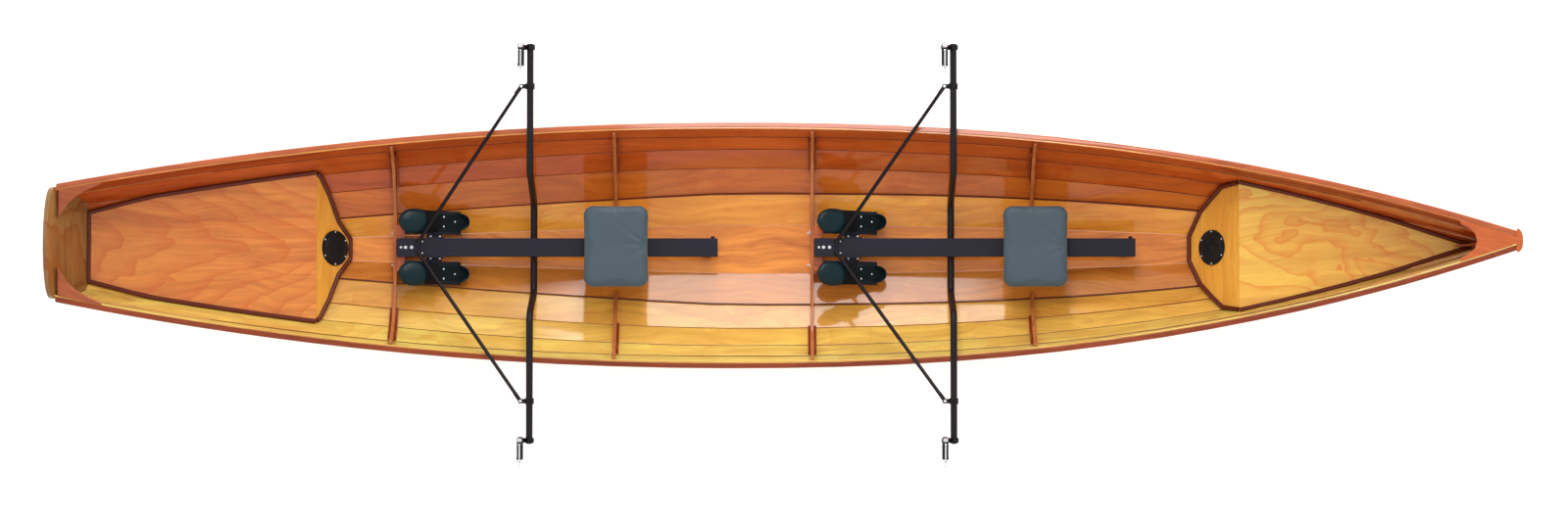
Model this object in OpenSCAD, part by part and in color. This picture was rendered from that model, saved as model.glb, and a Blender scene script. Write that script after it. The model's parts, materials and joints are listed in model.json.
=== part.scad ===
// Two-seat rowing wherry: glued-lap plywood hull, sealed end compartments and two drop-in
// sliding-seat rowing units. Millimetres. +X is the bow, +Y is port, +Z is up.
// The origin is on the underside of the bottom panel, on the centreline.

/* [Hull] */
// Length from the widest section to the bow end of the sheer planks
bow_run = 3164; // [3100:10:3900]
// Length from the widest section to the transom at deck height
stern_run = 2644; // [2600:10:3300]
// Half of the inside beam at the sheer
half_beam = 478; // [410:1:600]
// Half of the inside width at the top of the transom
transom_half = 212; // [190:1:280]
// Height of the sheer amidships
sheer_mid_z = 310; // [290:1:400]
// Height of the sheer at the transom
sheer_stern_z = 475; // [420:1:600]
// Height of the sheer at the stem
sheer_bow_z = 635; // [560:1:760]
// Thickness of the bottom panel
bottom_t = 9; // [7:0.5:14]
// Thickness of the planks
plank_t = 7; // [5:0.5:9]
// Width of the overlap between two planks
lap_w = 15; // [12:1:22]
// Backward lean of the transom, in degrees
transom_rake = 17; // [5:1:25]
// Thickness of the transom
transom_t = 19; // [12:1:28]
// Rise of the transom's crown above its top corners
crown_h = 75; // [40:1:100]
// Width of the outwales
outwale_w = 22; // [16:1:32]
// Depth of the outwales
outwale_h = 20; // [16:1:30]
// Thickness of the breasthook and the quarter knees
knee_t = 20; // [12:1:28]

/* [Compartments] */
// Top of the stern deck
stern_deck_z = 182; // [170:1:200]
// Top of the bow deck
bow_deck_z = 255; // [235:1:290]
// Length of the stern deck
stern_deck_len = 940; // [800:10:980]
// Distance from the bow end of the sheer planks back to the edge of the bow deck
bow_deck_len = 1079; // [900:10:1120]
// Thickness of the decks
deck_t = 6; // [4:0.5:10]
// Thickness of the bulkheads
bulkhead_t = 9; // [6:0.5:12]
// Lean of the bulkheads from upright, in degrees
bulkhead_lean = 41; // [30:1:45]
// Outside diameter of the hatch rings
hatch_d = 146; // [130:1:150]

/* [Frames] */
// Thickness of the frames
frame_t = 14; // [10:1:20]
// Depth of the frames, inwards from the planks
frame_depth = 42; // [30:1:50]
// Height of the floor part of the foot frames
floor_z = 104; // [80:1:108]
// Distance from a foot frame to the side frame ahead of it
side_frame_gap = 910; // [880:1:940]
// Thickness of the cheeks on the frames
cheek_t = 10; // [6:1:14]

/* [Rowing units] */
// Place of the aft foot frame along the hull
foot_x = -1600; // [-1620:1:-1590]
// Distance between the two rowing units
unit_pitch = 1722; // [1600:1:1740]
// Length of the rails
rail_len = 1321; // [1280:1:1400]
// Width of the rails
rail_w = 75; // [66:1:80]
// Height of the rails
rail_h = 38; // [30:1:42]
// Height of the rails' tops above the bottom
rail_top = 150; // [140:1:170]
// Wall of the rails
rail_wall = 3; // [2:0.5:5]
// Distance between the oarlock pins
pin_span = 1600; // [1500:5:1760]
// Outside diameter of the wing tubes
wing_d = 28; // [24:1:32]
// Wall of the wing tubes
wing_wall = 2.5; // [2:0.5:4]
// Height of the wing tubes' ends
wing_z = 425; // [420:1:470]
// Distance from a foot frame to its wing tube
wing_x = 573; // [540:1:600]
// Distance from the centreline to the stay clamps
stay_y = 641; // [600:1:690]
// Diameter of the stays
stay_d = 12; // [10:0.5:16]
// Diameter of the oarlock pins
pin_d = 13; // [10:0.5:15]
// Length of an oarlock from its pin to its outer horn
lock_len = 76; // [70:1:90]

/* [Seats and shoes] */
// Distance from a foot frame to the middle of its seat
seat_x = 916; // [820:1:1000]
// Length of the seat pads
pad_len = 265; // [230:1:290]
// Width of the seat pads
pad_w = 333; // [300:1:360]
// Thickness of the seat pads
pad_t = 44; // [35:1:50]
// Corner radius of the seat pads
pad_r = 40; // [25:1:60]
// Diameter of the seat wheels
wheel_d = 32; // [28:1:40]
// Distance between the two axles of a seat
axle_gap = 170; // [140:1:190]
// Length of the shoes, on their slope
shoe_len = 305; // [270:1:320]
// Width of the shoes at the ball of the foot
shoe_w = 110; // [95:1:112]
// Slope of the shoes, in degrees
shoe_slope = 24; // [20:1:26]

/* [Hidden] */
$fn = 48;

gap = 0.3;            // glue line or clearance between two pieces
fit = 0.1;            // running clearance round a pin or an axle
edge_min = 2.5;       // thinnest plank edge at a bevelled lap
stations = 40;        // cross-sections along each plank
bottom_flat = 450;    // half length of the dead flat run of the bottom
x_mid = -214;         // widest section
x_bow = x_mid + bow_run;
x_stern = x_mid - stern_run;
units = [foot_x, foot_x + unit_pitch];

// Finishes.
varnish = "chocolate";
okoume = "sandybrown";
dark = "dimgray";
steel = "silver";

// The six chines, from the bottom panel's edge to the sheer. Each row holds: share of the half
// beam and height amidships, share of the transom's half width and height there, half width,
// height and set-back at the stem, then the powers of the curves for width (aft, forward) and
// height (aft, forward).
CHINES = [
    [0.211, bottom_t, 0.038, 69, 6, 60, 450, 1.1, 2.2, 2.5, 2.5],
    [0.483, 34, 0.16, 122, 7, 130, 270, 1.2, 2.7, 1.6, 2.2],
    [0.690, 84, 0.51, 156, 8, 215, 160, 1.6, 2.3, 1.8, 3.1],
    [0.845, 144, 0.825, 192, 9, 320, 90, 1.7, 2.35, 4, 4.5],
    [0.939, 214, 0.98, 300, 10, 450, 40, 2.1, 2.4, 2.5, 2.6],
    [1, sheer_mid_z, 1, sheer_stern_z, 12, sheer_bow_z, 0, 2.0, 2.25, 2.5, 1.8]];
SHEER = 5;

// ---- Hull lines ----
function chine_bow(k) = x_bow - CHINES[k][6];
function transom_x(z) = x_stern - (z - stern_deck_z) * tan(transom_rake);
function share(from, to, v) = max(0, (v - from) / (to - from));
function chine_x(k, s) = let (x0 = transom_x(CHINES[k][3])) x0 + (chine_bow(k) - x0) * s;
function chine_y(k, x) =
    let (c = CHINES[k], y = c[0] * half_beam)
    y - (y - c[4]) * pow(share(x_mid, chine_bow(k), x), c[8])
      - (y - c[2] * transom_half) * pow(share(x_mid, transom_x(c[3]), x), c[7]);
function chine_z(k, x) =
    let (c = CHINES[k], flat = k == 0 ? bottom_flat : 0)
    c[1] + (c[5] - c[1]) * pow(share(x_mid + flat, chine_bow(k), x), c[10])
         + (c[3] - c[1]) * pow(share(x_mid - flat, transom_x(c[3]), x), c[9]);
function chine(k, s) = let (x = chine_x(k, s)) [x, chine_y(k, x), chine_z(k, x)];

// Section directions: up the plank, and outwards from its face, as [y, z].
function up(j, s) =
    let (a = chine(j, s), b = chine(j + 1, s), d = [b.y - a.y, b.z - a.z]) d / norm(d);
function out(j, s) = let (u = up(j, s)) [u.y, -u.x];
function turn(j, s) = let (a = up(j, s), b = up(j + 1, s)) (a.x * b.y - a.y * b.x) / (a * b);
function edge_t(j, s) =
    j == SHEER - 1 ? plank_t : max(edge_min, min(plank_t, plank_t - lap_w * turn(j, s)));

// A section point [y, z] set at chine k. It follows the lean of the transom and of the stem.
function stem_lean(k) = k == 0 ? 0 :
    (chine_bow(k) - chine_bow(k - 1)) / (CHINES[k][5] - CHINES[k - 1][5]);
function lean(k, s) =
    stem_lean(k) * max(0, 1 - (1 - s) / 0.08) - tan(transom_rake) * max(0, 1 - s / 0.08);
function place(k, s, p) = let (c = chine(k, s)) [c.x + lean(k, s) * (p.y - c.z), p.x, p.y];
function yz(p) = [p.y, p.z];
function lap_top(j, s) = yz(chine(j + 1, s)) + edge_t(j, s) * out(j, s);
function lap_foot(j, s) = yz(chine(j + 1, s)) - lap_w * up(j, s) + plank_t * out(j, s);
function foot(j, s) = j == 0 ? yz(chine(0, s)) + [gap, 0] : lap_foot(j - 1, s) + gap * out(j, s);
function knuckle(j, s) =
    j == 0 ? foot(0, s) + lap_w * up(0, s) : lap_top(j - 1, s) + gap * out(j, s);

// Inner foot, inner knuckle, inner top, outer top, outer lap line, outer foot.
function plank_ring(j, s) = [
    place(j, s, foot(j, s)), place(j, s, knuckle(j, s)), chine(j + 1, s),
    place(j + 1, s, lap_top(j, s)), place(j + 1, s, lap_foot(j, s)),
    place(j, s, foot(j, s) + plank_t * out(j, s))];
function bottom_ring(s) =
    let (c = chine(0, s), low = [c.y, c.z - bottom_t], a = place(0, s, low))
    [[a.x, -a.y, a.z], [c.x, -c.y, c.z], c, a];
function outwale_ring(s) =
    let (c = yz(chine(SHEER, s)), n = out(SHEER - 1, s), u = up(SHEER - 1, s),
         i = c + (plank_t + gap) * n, w = outwale_w, h = outwale_h,
         pts = [i - h * u, i, i + (w - 5) * n, i + w * n - 5 * u, i + w * n - (h - 7) * u,
                i + (w - 7) * n - h * u])
    [for (p = pts) place(SHEER, s, p)];

// Stations bunch towards both ends.
STATIONS = [for (i = [0 : stations]) 0.5 - 0.5 * cos(180 * i / stations)];

// Faces of a skin over rings of n points. The far half of each ring turns its diagonals round,
// so that two planks' lap faces are cut the same way.
function skin_faces(n, last) = concat(
    [for (i = [0 : last - 1], k = [0 : n - 1], half = [0, 1])
        let (a = i * n + k, b = i * n + (k + 1) % n, c = a + n, d = b + n)
        k < n / 2 ? (half == 0 ? [a, b, d] : [a, d, c]) : (half == 0 ? [a, b, c] : [b, d, c])],
    cap(n, last * n, false), cap(n, 0, true));
function cap(n, at, flip) =
    [for (k = [0 : n - 3])
        let (lo = floor((k + 1) / 2), hi = n - 1 - floor(k / 2),
             t = k % 2 == 0 ? [lo, lo + 1, hi] : [lo, hi - 1, hi])
        flip ? [at + t[2], at + t[1], at + t[0]] : [at + t[0], at + t[1], at + t[2]]];
// A skin that runs out along a tube and back along its bore, and closes on itself.
module hollow_skin(rings) {
    n = len(rings[0]);
    m = len(rings);
    polyhedron([for (r = rings, p = r) p],
        [for (i = [0 : m - 1], k = [0 : n - 1], half = [0, 1])
            let (a = i * n + k, b = i * n + (k + 1) % n, c = (a + n) % (n * m), d = (b + n) % (n * m))
            half == 0 ? [a, b, d] : [a, d, c]], convexity = 6);
}
module skin(rings) {
    n = len(rings[0]);
    polyhedron([for (r = rings, p = r) p], skin_faces(n, len(rings) - 1), convexity = 6);
}

// Inside of the hull at a place x: the chines' own edges, read between the stations.
EDGE_Y = [for (k = [0 : SHEER]) [for (s = STATIONS) let (c = chine(k, s)) [c.x, c.y]]];
EDGE_Z = [for (k = [0 : SHEER]) [for (s = STATIONS) let (c = chine(k, s)) [c.x, c.z]]];
function in_y(k, x) = lookup(x, EDGE_Y[k]);
function in_z(k, x) = lookup(x, EDGE_Z[k]);
function half_width(x, z) = lookup(z, [for (k = [0 : SHEER]) [in_z(k, x), in_y(k, x)]]);

// ---- Hull pieces ----
module bottom_panel() {
    color(varnish) skin([for (s = STATIONS) bottom_ring(s)]);
}

module plank(j) {
    color(okoume) skin([for (s = STATIONS) plank_ring(j, s)]);
}

module starboard() {
    mirror([0, 1, 0]) children();
}

module outwale() {
    color(varnish) skin([for (s = STATIONS) outwale_ring(s)]);
}

// Places a flat outline [y, height] as a plate whose bow face passes through x at height z.
module upright(x, t) {
    translate([x - t, 0, 0]) rotate([90, 0, 90]) linear_extrude(t) children();
}
function both_sides(pts) =
    concat(pts, [for (i = [len(pts) - 1 : -1 : 0]) [-pts[i].x, pts[i].y]]);

module transom() {
    side = concat([[0, CHINES[0][3] - bottom_t]],
        [for (j = [0 : SHEER - 1], p = [foot(j, 0) + plank_t * out(j, 0), lap_foot(j, 0)]) p],
        [yz(chine(SHEER, 0)) + (plank_t + outwale_w - 13) * out(SHEER - 1, 0)]);
    top = side[len(side) - 1];
    crown = [for (a = [0 : 10 : 90]) [top.x * cos(a), top.y + crown_h * pow(sin(a), 0.8)]];
    outline = both_sides([for (p = concat(side, crown)) [p.x, p.y / cos(transom_rake)]]);
    color(okoume) translate([transom_x(0) - gap / cos(transom_rake), 0, 0])
        rotate([0, -transom_rake, 0]) upright(0, transom_t) polygon(outline);
}

// The stem: an apron between the planks and a wider outer stem over their ends.
module stem() {
    ends = [for (k = [0 : SHEER]) [chine_bow(k), CHINES[k][5]]];
    head = sheer_bow_z - knee_t - 16;
    foot_pt = ends[0];
    apron = concat([for (p = ends) [p.x - 1, min(p.y, head)]],
        [for (i = [SHEER : -1 : 1]) [ends[i].x - 60, min(ends[i].y, head)]],
        [[foot_pt.x - 130, in_z(0, foot_pt.x - 130) + 0.5]]);
    outer = concat([for (p = ends) [p.x + 0.6, min(p.y, head)]],
        [for (i = [SHEER : -1 : 0]) [ends[i].x + 20, min(ends[i].y, head) - (i == 0 ? 6 : 0)]],
        [[foot_pt.x + 0.6, foot_pt.y - bottom_t - 3]]);
    color(varnish) {
        rotate([90, 0, 0]) linear_extrude(9, center = true) polygon(apron);
        rotate([90, 0, 0]) linear_extrude(36, center = true) polygon(outer);
        rotate([90, 0, 0]) linear_extrude(8, center = true)
            polygon(concat([for (p = ends) [p.x - 20, min(p.y, head)]],
                [for (i = [SHEER : -1 : 0]) [ends[i].x + 5, min(ends[i].y, head)]]));
    }
}

module skeg() {
    start = x_mid - 1486;
    end = transom_x(40) - 12;
    xs = [for (i = [0 : 12]) start + (end - start) * i / 12];
    under = [for (x = xs) [x, min(in_z(0, x), in_z(0, max(x, x_stern + 60))) - bottom_t - gap]];
    color(varnish) rotate([90, 0, 0]) linear_extrude(14, center = true)
        polygon(concat(under, [[end, 0], [start - 260, 0]]));
}

// A plate let in at the sheer, from x0 (height z0) to x1 (height z1), under an outline [x, y]
// measured from x0.
module sheer_plate(x0, z0, x1, z1) {
    translate([x0, 0, z0]) rotate([0, -atan2(z1 - z0, x1 - x0), 0])
        translate([0, 0, -knee_t]) linear_extrude(knee_t) children();
}

hook_len = 220;
module breasthook() {
    x0 = x_bow - hook_len;
    z0 = chine_z(SHEER, x0);
    reach = norm([hook_len, sheer_bow_z - z0]);
    function side(d) = in_y(SHEER, x0 + d * hook_len / reach) - 6;
    nose = in_y(SHEER, x_bow) + plank_t + outwale_w;
    edge = concat([for (d = [0 : 40 : 200]) [d, side(d)]], [[reach - 1, side(reach)]],
        [for (a = [90 : -15 : 0]) [reach + 2 + 25 * cos(a), nose * sin(a)]]);
    inner = [[0, side(0) - 14], [34, side(34) - 22], [58, 22], [67, 0]];
    color(varnish) sheer_plate(x0, z0, x_bow, sheer_bow_z)
        polygon(concat(edge, [for (i = [len(edge) - 2 : -1 : 0]) [edge[i].x, -edge[i].y]],
            [for (p = inner) [p.x, -p.y]], [for (i = [len(inner) - 2 : -1 : 0]) inner[i]]));
}

knee_len = 190;
module quarter_knees() {
    x0 = transom_x(sheer_stern_z) + knee_len;
    z0 = chine_z(SHEER, x0);
    reach = norm([knee_len, sheer_stern_z - z0]) - 11;
    function side(d) = in_y(SHEER, x0 - d * knee_len / reach) - 3;
    curve = [[10, side(0) - 12], [60, side(60) - 22], [110, side(110) - 42], [140, side(140) - 64],
        [160, side(160) - 90], [reach, side(reach) - 116]];
    outline = concat([for (d = [0 : 38 : 152]) [-d, side(d)]], [[-reach, side(reach)]],
        [for (i = [len(curve) - 1 : -1 : 0]) [-curve[i].x, curve[i].y]]);
    color(varnish) for (m = [0, 1]) mirror([0, m, 0])
        translate([x0, 0, z0]) rotate([0, atan2(sheer_stern_z - z0, knee_len), 0])
            translate([0, 0, -knee_t]) linear_extrude(knee_t) polygon(outline);
}

// ---- Decks, bulkheads and frames ----
module deck(x0, x1, z) {
    xs = [for (i = [0 : 10]) x0 + (x1 - x0) * i / 10];
    edge = [for (x = xs) [x, min(half_width(x, z), half_width(x, z - deck_t)) - 0.8]];
    color(okoume) translate([0, 0, z - deck_t]) linear_extrude(deck_t)
        polygon(concat(edge, [for (i = [10 : -1 : 0]) [edge[i].x, -edge[i].y]]));
}
stern_edge = x_stern + stern_deck_len;
bow_edge = x_bow - bow_deck_len;
module stern_deck() {
    deck(x_stern + gap + deck_t * tan(transom_rake), stern_edge, stern_deck_z);
}
module bow_deck() {
    deck(bow_edge, x_bow - 205, bow_deck_z);
}

// How far down a leaning bulkhead chine k lies. way is +1 where its foot reaches forward.
function drop(k, edge, z, way, v, tries) =
    tries == 0 ? v : drop(k, edge, z, way,
        (z - in_z(k, edge + way * v * sin(bulkhead_lean))) / cos(bulkhead_lean), tries - 1);
// The plate's face is the plane z = 0, its foot lies towards +x, and its back is below.
module bulkhead(edge, z, way) {
    zt = z - deck_t - gap;
    back = bulkhead_t * tan(bulkhead_lean);
    low = [for (k = [0 : SHEER])
        let (v = drop(k, edge, zt, way, 0, 6), x = edge + way * v * sin(bulkhead_lean))
        if (v > 12) [v - back - 4, in_y(k, x) - 5.5]];
    top = [[0, half_width(edge, zt) - 4]];
    pts = concat([for (i = [0 : len(low) - 1]) low[i]], top);
    full = concat(pts, [for (i = [len(pts) - 1 : -1 : 0]) [pts[i].x, -pts[i].y]]);
    color("gold") bulkhead_frame(edge, z, way) difference() {
        translate([0, 0, -bulkhead_t]) linear_extrude(bulkhead_t) polygon(full);
        translate([hatch_v(z), 0, -bulkhead_t - 1]) cylinder(h = bulkhead_t + 2, d = hatch_neck + 2 * gap);
    }
}
// Puts local x down the slope and local z out of the face, on the cockpit side.
module bulkhead_frame(edge, z, way) {
    c = cos(bulkhead_lean);
    s = sin(bulkhead_lean);
    multmatrix([[way * s, 0, way * c, edge], [0, 1, 0, 0], [-c, 0, s, z - deck_t - gap], [0, 0, 0, 1]])
        children();
}
function hatch_v(z) = (z - deck_t - 20) / cos(bulkhead_lean) * 0.5;
hatch_neck = hatch_d - 24;
lid_d = hatch_neck - 12;
ends = [[stern_edge, stern_deck_z, 1], [bow_edge, bow_deck_z, -1]];
module stern_bulkhead() {
    bulkhead(ends[0][0], ends[0][1], ends[0][2]);
}
module bow_bulkhead() {
    bulkhead(ends[1][0], ends[1][1], ends[1][2]);
}
module on_hatch(e) {
    bulkhead_frame(e[0], e[1], e[2]) translate([hatch_v(e[1]), 0, 0]) children();
}
module hatch_rings() {
    color("black") for (e = ends) on_hatch(e) difference() {
        union() {
            translate([0, 0, gap]) cylinder(h = 5, d = hatch_d);
            translate([0, 0, -bulkhead_t - 6]) cylinder(h = bulkhead_t + 7, d = hatch_neck);
        }
        translate([0, 0, -bulkhead_t - 7]) cylinder(h = bulkhead_t + 14, d = lid_d + 2 * gap);
    }
}
module hatch_lid(e) {
    color("black") on_hatch(e) difference() {
        union() {
            translate([0, 0, -8]) cylinder(h = 11, d = lid_d);
            translate([0, 0, 5 + 2 * gap]) cylinder(h = 3, d = lid_d + 12);
            translate([0, 0, 2]) cylinder(h = 4, d = lid_d - 4);
        }
        translate([0, 0, -9]) cylinder(h = 7, d = lid_d - 8);
        for (y = [-1, 1]) translate([-18, y * 26 - 6, 4]) cube([36, 12, 9]);
    }
}
module stern_hatch_lid() {
    hatch_lid(ends[0]);
}
module bow_hatch_lid() {
    hatch_lid(ends[1]);
}

// Points of a frame's outline at x, just inside the planks; k may be a fraction up to the sheer.
function frame_pt(k, x, reach = frame_t / 2) =
    let (lo = floor(min(k, SHEER - 1)), f = k - lo, xs = [x - reach, x, x + reach],
         y = min([for (v = xs) in_y(lo, v) * (1 - f) + in_y(lo + 1, v) * f]),
         z = max([for (v = xs) in_z(lo, v) * (1 - f) + in_z(lo + 1, v) * f]))
    [y - gap, z + 2 * gap];
function frame_in(k, x, depth) =
    let (a = frame_pt(k - 0.5, x), b = frame_pt(min(k + 0.5, SHEER), x), d = (b - a) / norm(b - a))
    frame_pt(k, x) + depth * [-d.y, d.x];
top_k = 4.86;
function frame_side(x, from) =
    concat([for (k = [from : 4]) frame_pt(k, x)], [frame_pt(top_k, x)]);
function frame_inner(x) = [frame_pt(top_k, x) - [11, 0], frame_in(4.2, x, frame_depth - 14),
    frame_in(3, x, frame_depth), frame_in(2, x, frame_depth)];
side_foot = 176;
module foot_frames() {
    color(varnish) for (x = units) {
        inner = concat(frame_inner(x), [[in_y(1, x), max(floor_z, in_z(0, x) + 60)]]);
        half = concat(frame_side(x, 0), inner);
        upright(x + frame_t / 2, frame_t) difference() {
            polygon(concat(half, [for (i = [len(half) - 1 : -1 : 0]) [-half[i].x, half[i].y]]));
            translate([-12, in_z(0, x)]) square([24, 14]);
        }
    }
}
module side_frames() {
    color(varnish) for (u = units, m = [0, 1]) mirror([0, m, 0]) {
        x = u + side_frame_gap;
        lo = frame_pt(0, x);
        hi = frame_pt(1, x);
        y_foot = side_foot;
        z_foot = lo.y + (hi.y - lo.y) * share(lo.x, hi.x, y_foot) + 1.5;
        upright(x + frame_t / 2, frame_t)
            polygon(concat([[y_foot, z_foot]], frame_side(x, 1), frame_inner(x),
                [[y_foot + 50, z_foot + frame_depth - 8], [y_foot, z_foot + 10]]));
    }
}
// A cheek thickens one face of a frame between the third and the fifth chine.
module cheek(x, face) {
    at = x + face * (frame_t / 2 + gap) + (face > 0 ? cheek_t : 0);
    mid = x + face * (frame_t / 2 + gap + cheek_t / 2);
    out_pts = [for (k = [2.1, 3, 4]) frame_pt(k, mid)];
    in_pts = [for (k = [4, 3, 2.1]) frame_in(k, x, frame_depth - 16)];
    for (m = [0, 1]) mirror([0, m, 0]) upright(at, cheek_t) polygon(concat(out_pts, in_pts));
}
module frame_cheeks() {
    color(varnish) {
        for (x = units, face = [-1, 1]) cheek(x, face);
        cheek(units[0] + side_frame_gap, 1);
        cheek(units[1] + side_frame_gap, -1);
    }
}

// ---- Rowing units: every place is measured from the unit's foot frame ----
rail_from = frame_t / 2 + 3;
rail_z = rail_top - rail_h;
block_w = 190;
block_len = 34;
hinge_x = rail_from + 90;
clamp_back = 36;      // from a wing tube back to its bolts and pins
clamp_x = wing_x - clamp_back;
pin_y = pin_span / 2;
lock_z = wing_z + wing_d / 2 + 12;
lock_h = 54;
module bar(w, d, h) {
    translate([0, -d / 2, 0]) cube([w, d, h]);
}
module rail(u) {
    color(dark) translate([u + rail_from, 0, rail_z]) difference() {
        bar(rail_len, rail_w, rail_h);
        translate([-1, 0, rail_wall])
            bar(rail_len + 2, rail_w - 2 * rail_wall, rail_h - 2 * rail_wall);
    }
    color("black") translate([u + rail_from + rail_len - 19, rail_w / 2, rail_z + 22])
        rotate([-90, 0, 0]) cylinder(h = 9, d = 16);
}
module aft_rail() {
    rail(units[0]);
}
module fore_rail() {
    rail(units[1]);
}
// A mounting block under the foot of each rail and a stand under its bow end.
module rail_supports() {
    for (u = units) {
        low = [for (k = [0, 1]) frame_pt(k, u + frame_t / 2 + block_len / 2, block_len / 2)];
        foot_y = lookup(block_w / 2, [for (p = low) p]) + 1;
        half = [low[0] - [1, 0], [block_w / 2, foot_y], [block_w / 2, rail_z - gap]];
        color(varnish) upright(u + frame_t / 2 + gap + block_len, block_len)
            polygon(concat(half, [for (i = [2 : -1 : 0]) [-half[i].x, half[i].y]]));
        end = u + rail_from + rail_len - 60;
        foot_z = in_z(0, end + 40) + gap;
        color(dark) {
            translate([end, 0, rail_z - gap - 4]) bar(30, rail_w, 4);
            translate([end, 0, foot_z]) bar(30, 110, 4);
            for (y = [-1, 1]) translate([end, y * 26, foot_z])
                bar(30, 5, rail_z - gap - foot_z);
        }
    }
}
shoe_y = 108;
heel_x = rail_from + 287;
heel_z = 62;
module on_slope(y) {
    translate([heel_x, y, heel_z]) rotate([0, shoe_slope, 0]) mirror([1, 0, 0]) children();
}
// A plate over the foot of each rail with the stays' hinge bar, and a stretcher each side.
module foot_brackets() {
    color(dark) for (u = units) translate([u, 0, 0]) {
        translate([rail_from + 2, 0, rail_top + gap]) bar(110, rail_w, 4);
        for (y = [-11, 11]) translate([hinge_x - 8, y, rail_top + gap]) bar(16, 6, 20);
        translate([hinge_x, 0, rail_top + 14]) rotate([90, 0, 0])
            cylinder(h = 60, d = 8, center = true);
        for (y = [-1, 1]) {
            translate([rail_from + 122, y * (rail_w / 2 + gap + 2.5), rail_z]) bar(72, 5, rail_h);
            on_slope(y * (shoe_y - 4)) translate([30, 0, -5]) bar(shoe_len - 60, 96, 4);
            on_slope(y * (rail_w / 2 + 14.5)) translate([112, 0, -10]) bar(66, 19, 6);
        }
    }
}
// One shoe, drawn along its slope with the heel at the origin.
module shoe(side) {
    heel_r = 40;
    ball_r = shoe_w / 2;
    hull() {
        translate([heel_r, 0, 0]) cylinder(h = 14, r = heel_r, $fn = 32);
        translate([shoe_len - ball_r, 0, 0]) cylinder(h = 14, r = ball_r, $fn = 32);
    }
    hull() {
        translate([shoe_len - ball_r, 0, 10]) cylinder(h = 12, r1 = ball_r - 1, r2 = ball_r - 14, $fn = 32);
        translate([150, 0, 10]) cylinder(h = 24, r1 = 44, r2 = 28, $fn = 32);
    }
    hull() {
        translate([heel_r, 0, 10]) cylinder(h = 16, r1 = heel_r - 1, r2 = heel_r - 6, $fn = 32);
        translate([110, 0, 10]) cylinder(h = 12, r1 = 40, r2 = 30, $fn = 32);
    }
}
module shoes(u) {
    color("darkslategray") for (y = [-1, 1]) translate([u, 0, 0]) on_slope(y * shoe_y) shoe(y);
}
module aft_shoes() {
    shoes(units[0]);
}
module fore_shoes() {
    shoes(units[1]);
}
// Straps over the insteps, each a shallow arch above the shoe's upper.
strap_w = 58;
strap_r = 50;
module shoe_straps() {
    color("black") for (u = units, y = [-1, 1]) translate([u, 0, 0]) on_slope(y * shoe_y)
        translate([138, 0, 0]) difference() {
            intersection() {
                rotate([0, 90, 0]) cylinder(h = strap_w, r = strap_r);
                translate([-1, -60, 22]) cube([strap_w + 2, 120, 40]);
            }
            translate([-1, 0, 0]) rotate([0, 90, 0]) cylinder(h = strap_w + 2, r = strap_r - 3.2);
        }
}

// The wing tube runs under the rail, up past the gunwales and straight out to the oarlocks.
bend_r = 52;
low_z = rail_z - 3 - wing_d / 2;
bend_y = 185;
rise_y = 290;
rise_a = atan2(wing_z - low_z, rise_y - bend_y);
bend_len = bend_r * tan(rise_a / 2);
// Half of the tube's path from the centreline outwards: [y, z, slope].
function wing_path() = concat(
    [for (i = [0 : 6]) let (t = rise_a * i / 6)
        [bend_y - bend_len + bend_r * sin(t), low_z + bend_r * (1 - cos(t)), t]],
    [for (i = [6 : -1 : 0]) let (t = rise_a * i / 6)
        [rise_y + bend_len - bend_r * sin(t), wing_z - bend_r * (1 - cos(t)), t]],
    [[pin_y + 12, wing_z, 0]]);
function wing_ring(p, r) =
    [for (a = [0 : 15 : 345]) [r * cos(a), p.x - r * sin(a) * sin(p.z), p.y + r * sin(a) * cos(p.z)]];
module wing_tube(u) {
    half = wing_path();
    n = len(half);
    path = concat([for (i = [n - 1 : -1 : 0]) [-half[i].x, half[i].y, -half[i].z]], half);
    outer = [for (p = path) wing_ring(p, wing_d / 2)];
    bore = [for (i = [2 * n - 1 : -1 : 0]) wing_ring(path[i], wing_d / 2 - wing_wall)];
    color(dark) translate([u + wing_x, 0, 0]) hollow_skin(concat(outer, bore));
}
module aft_wing_tube() {
    wing_tube(units[0]);
}
module fore_wing_tube() {
    wing_tube(units[1]);
}
// Saddles hold the tube under the rail.
module tube_saddles() {
    color(dark) for (u = units) translate([u + wing_x, 0, low_z]) difference() {
        union() {
            translate([-24, 0, -2]) bar(48, rail_w, rail_z - gap - low_z + 2);
            rotate([90, 0, 0]) cylinder(h = rail_w, d = wing_d + 5, center = true);
        }
        rotate([90, 0, 0]) cylinder(h = rail_w + 2, d = wing_d + 2 * gap, center = true);
    }
}

// Stays run from the hinge bar up to the clamps on the wing tube.
stay_a = [hinge_x, 22, rail_top + 14];
stay_b = [clamp_x, stay_y, wing_z];
module rod_between(a, b, d) {
    v = b - a;
    translate(a) rotate([0, acos(v.z / norm(v)), atan2(v.y, v.x)]) cylinder(h = norm(v), d = d);
}
module stays(u) {
    dir = (stay_b - stay_a) / norm(stay_b - stay_a);
    color(dark) for (m = [0, 1]) mirror([0, m, 0]) translate([u, 0, 0]) {
        difference() {
            union() {
                translate(stay_a) rotate([90, 0, 0]) cylinder(h = 12, d = 16, center = true);
                rod_between(stay_a + 5 * dir, stay_b - 28 * dir, stay_d);
                translate(stay_b) rotate(atan2(dir.y, dir.x)) translate([-38, 0, -4.5]) bar(38, 14, 9);
                translate(stay_b - [0, 0, 4.5]) cylinder(h = 9, d = 18);
            }
            translate(stay_a) rotate([90, 0, 0]) cylinder(h = 34, d = 8 + 2 * gap, center = true);
            translate(stay_b - [0, 0, 10]) cylinder(h = 20, d = 6 + 2 * gap);
        }
    }
}
module aft_stays() {
    stays(units[0]);
}
module fore_stays() {
    stays(units[1]);
}
module each_end() {
    for (u = units, m = [0, 1]) mirror([0, m, 0]) translate([u, 0, 0]) children();
}
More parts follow.
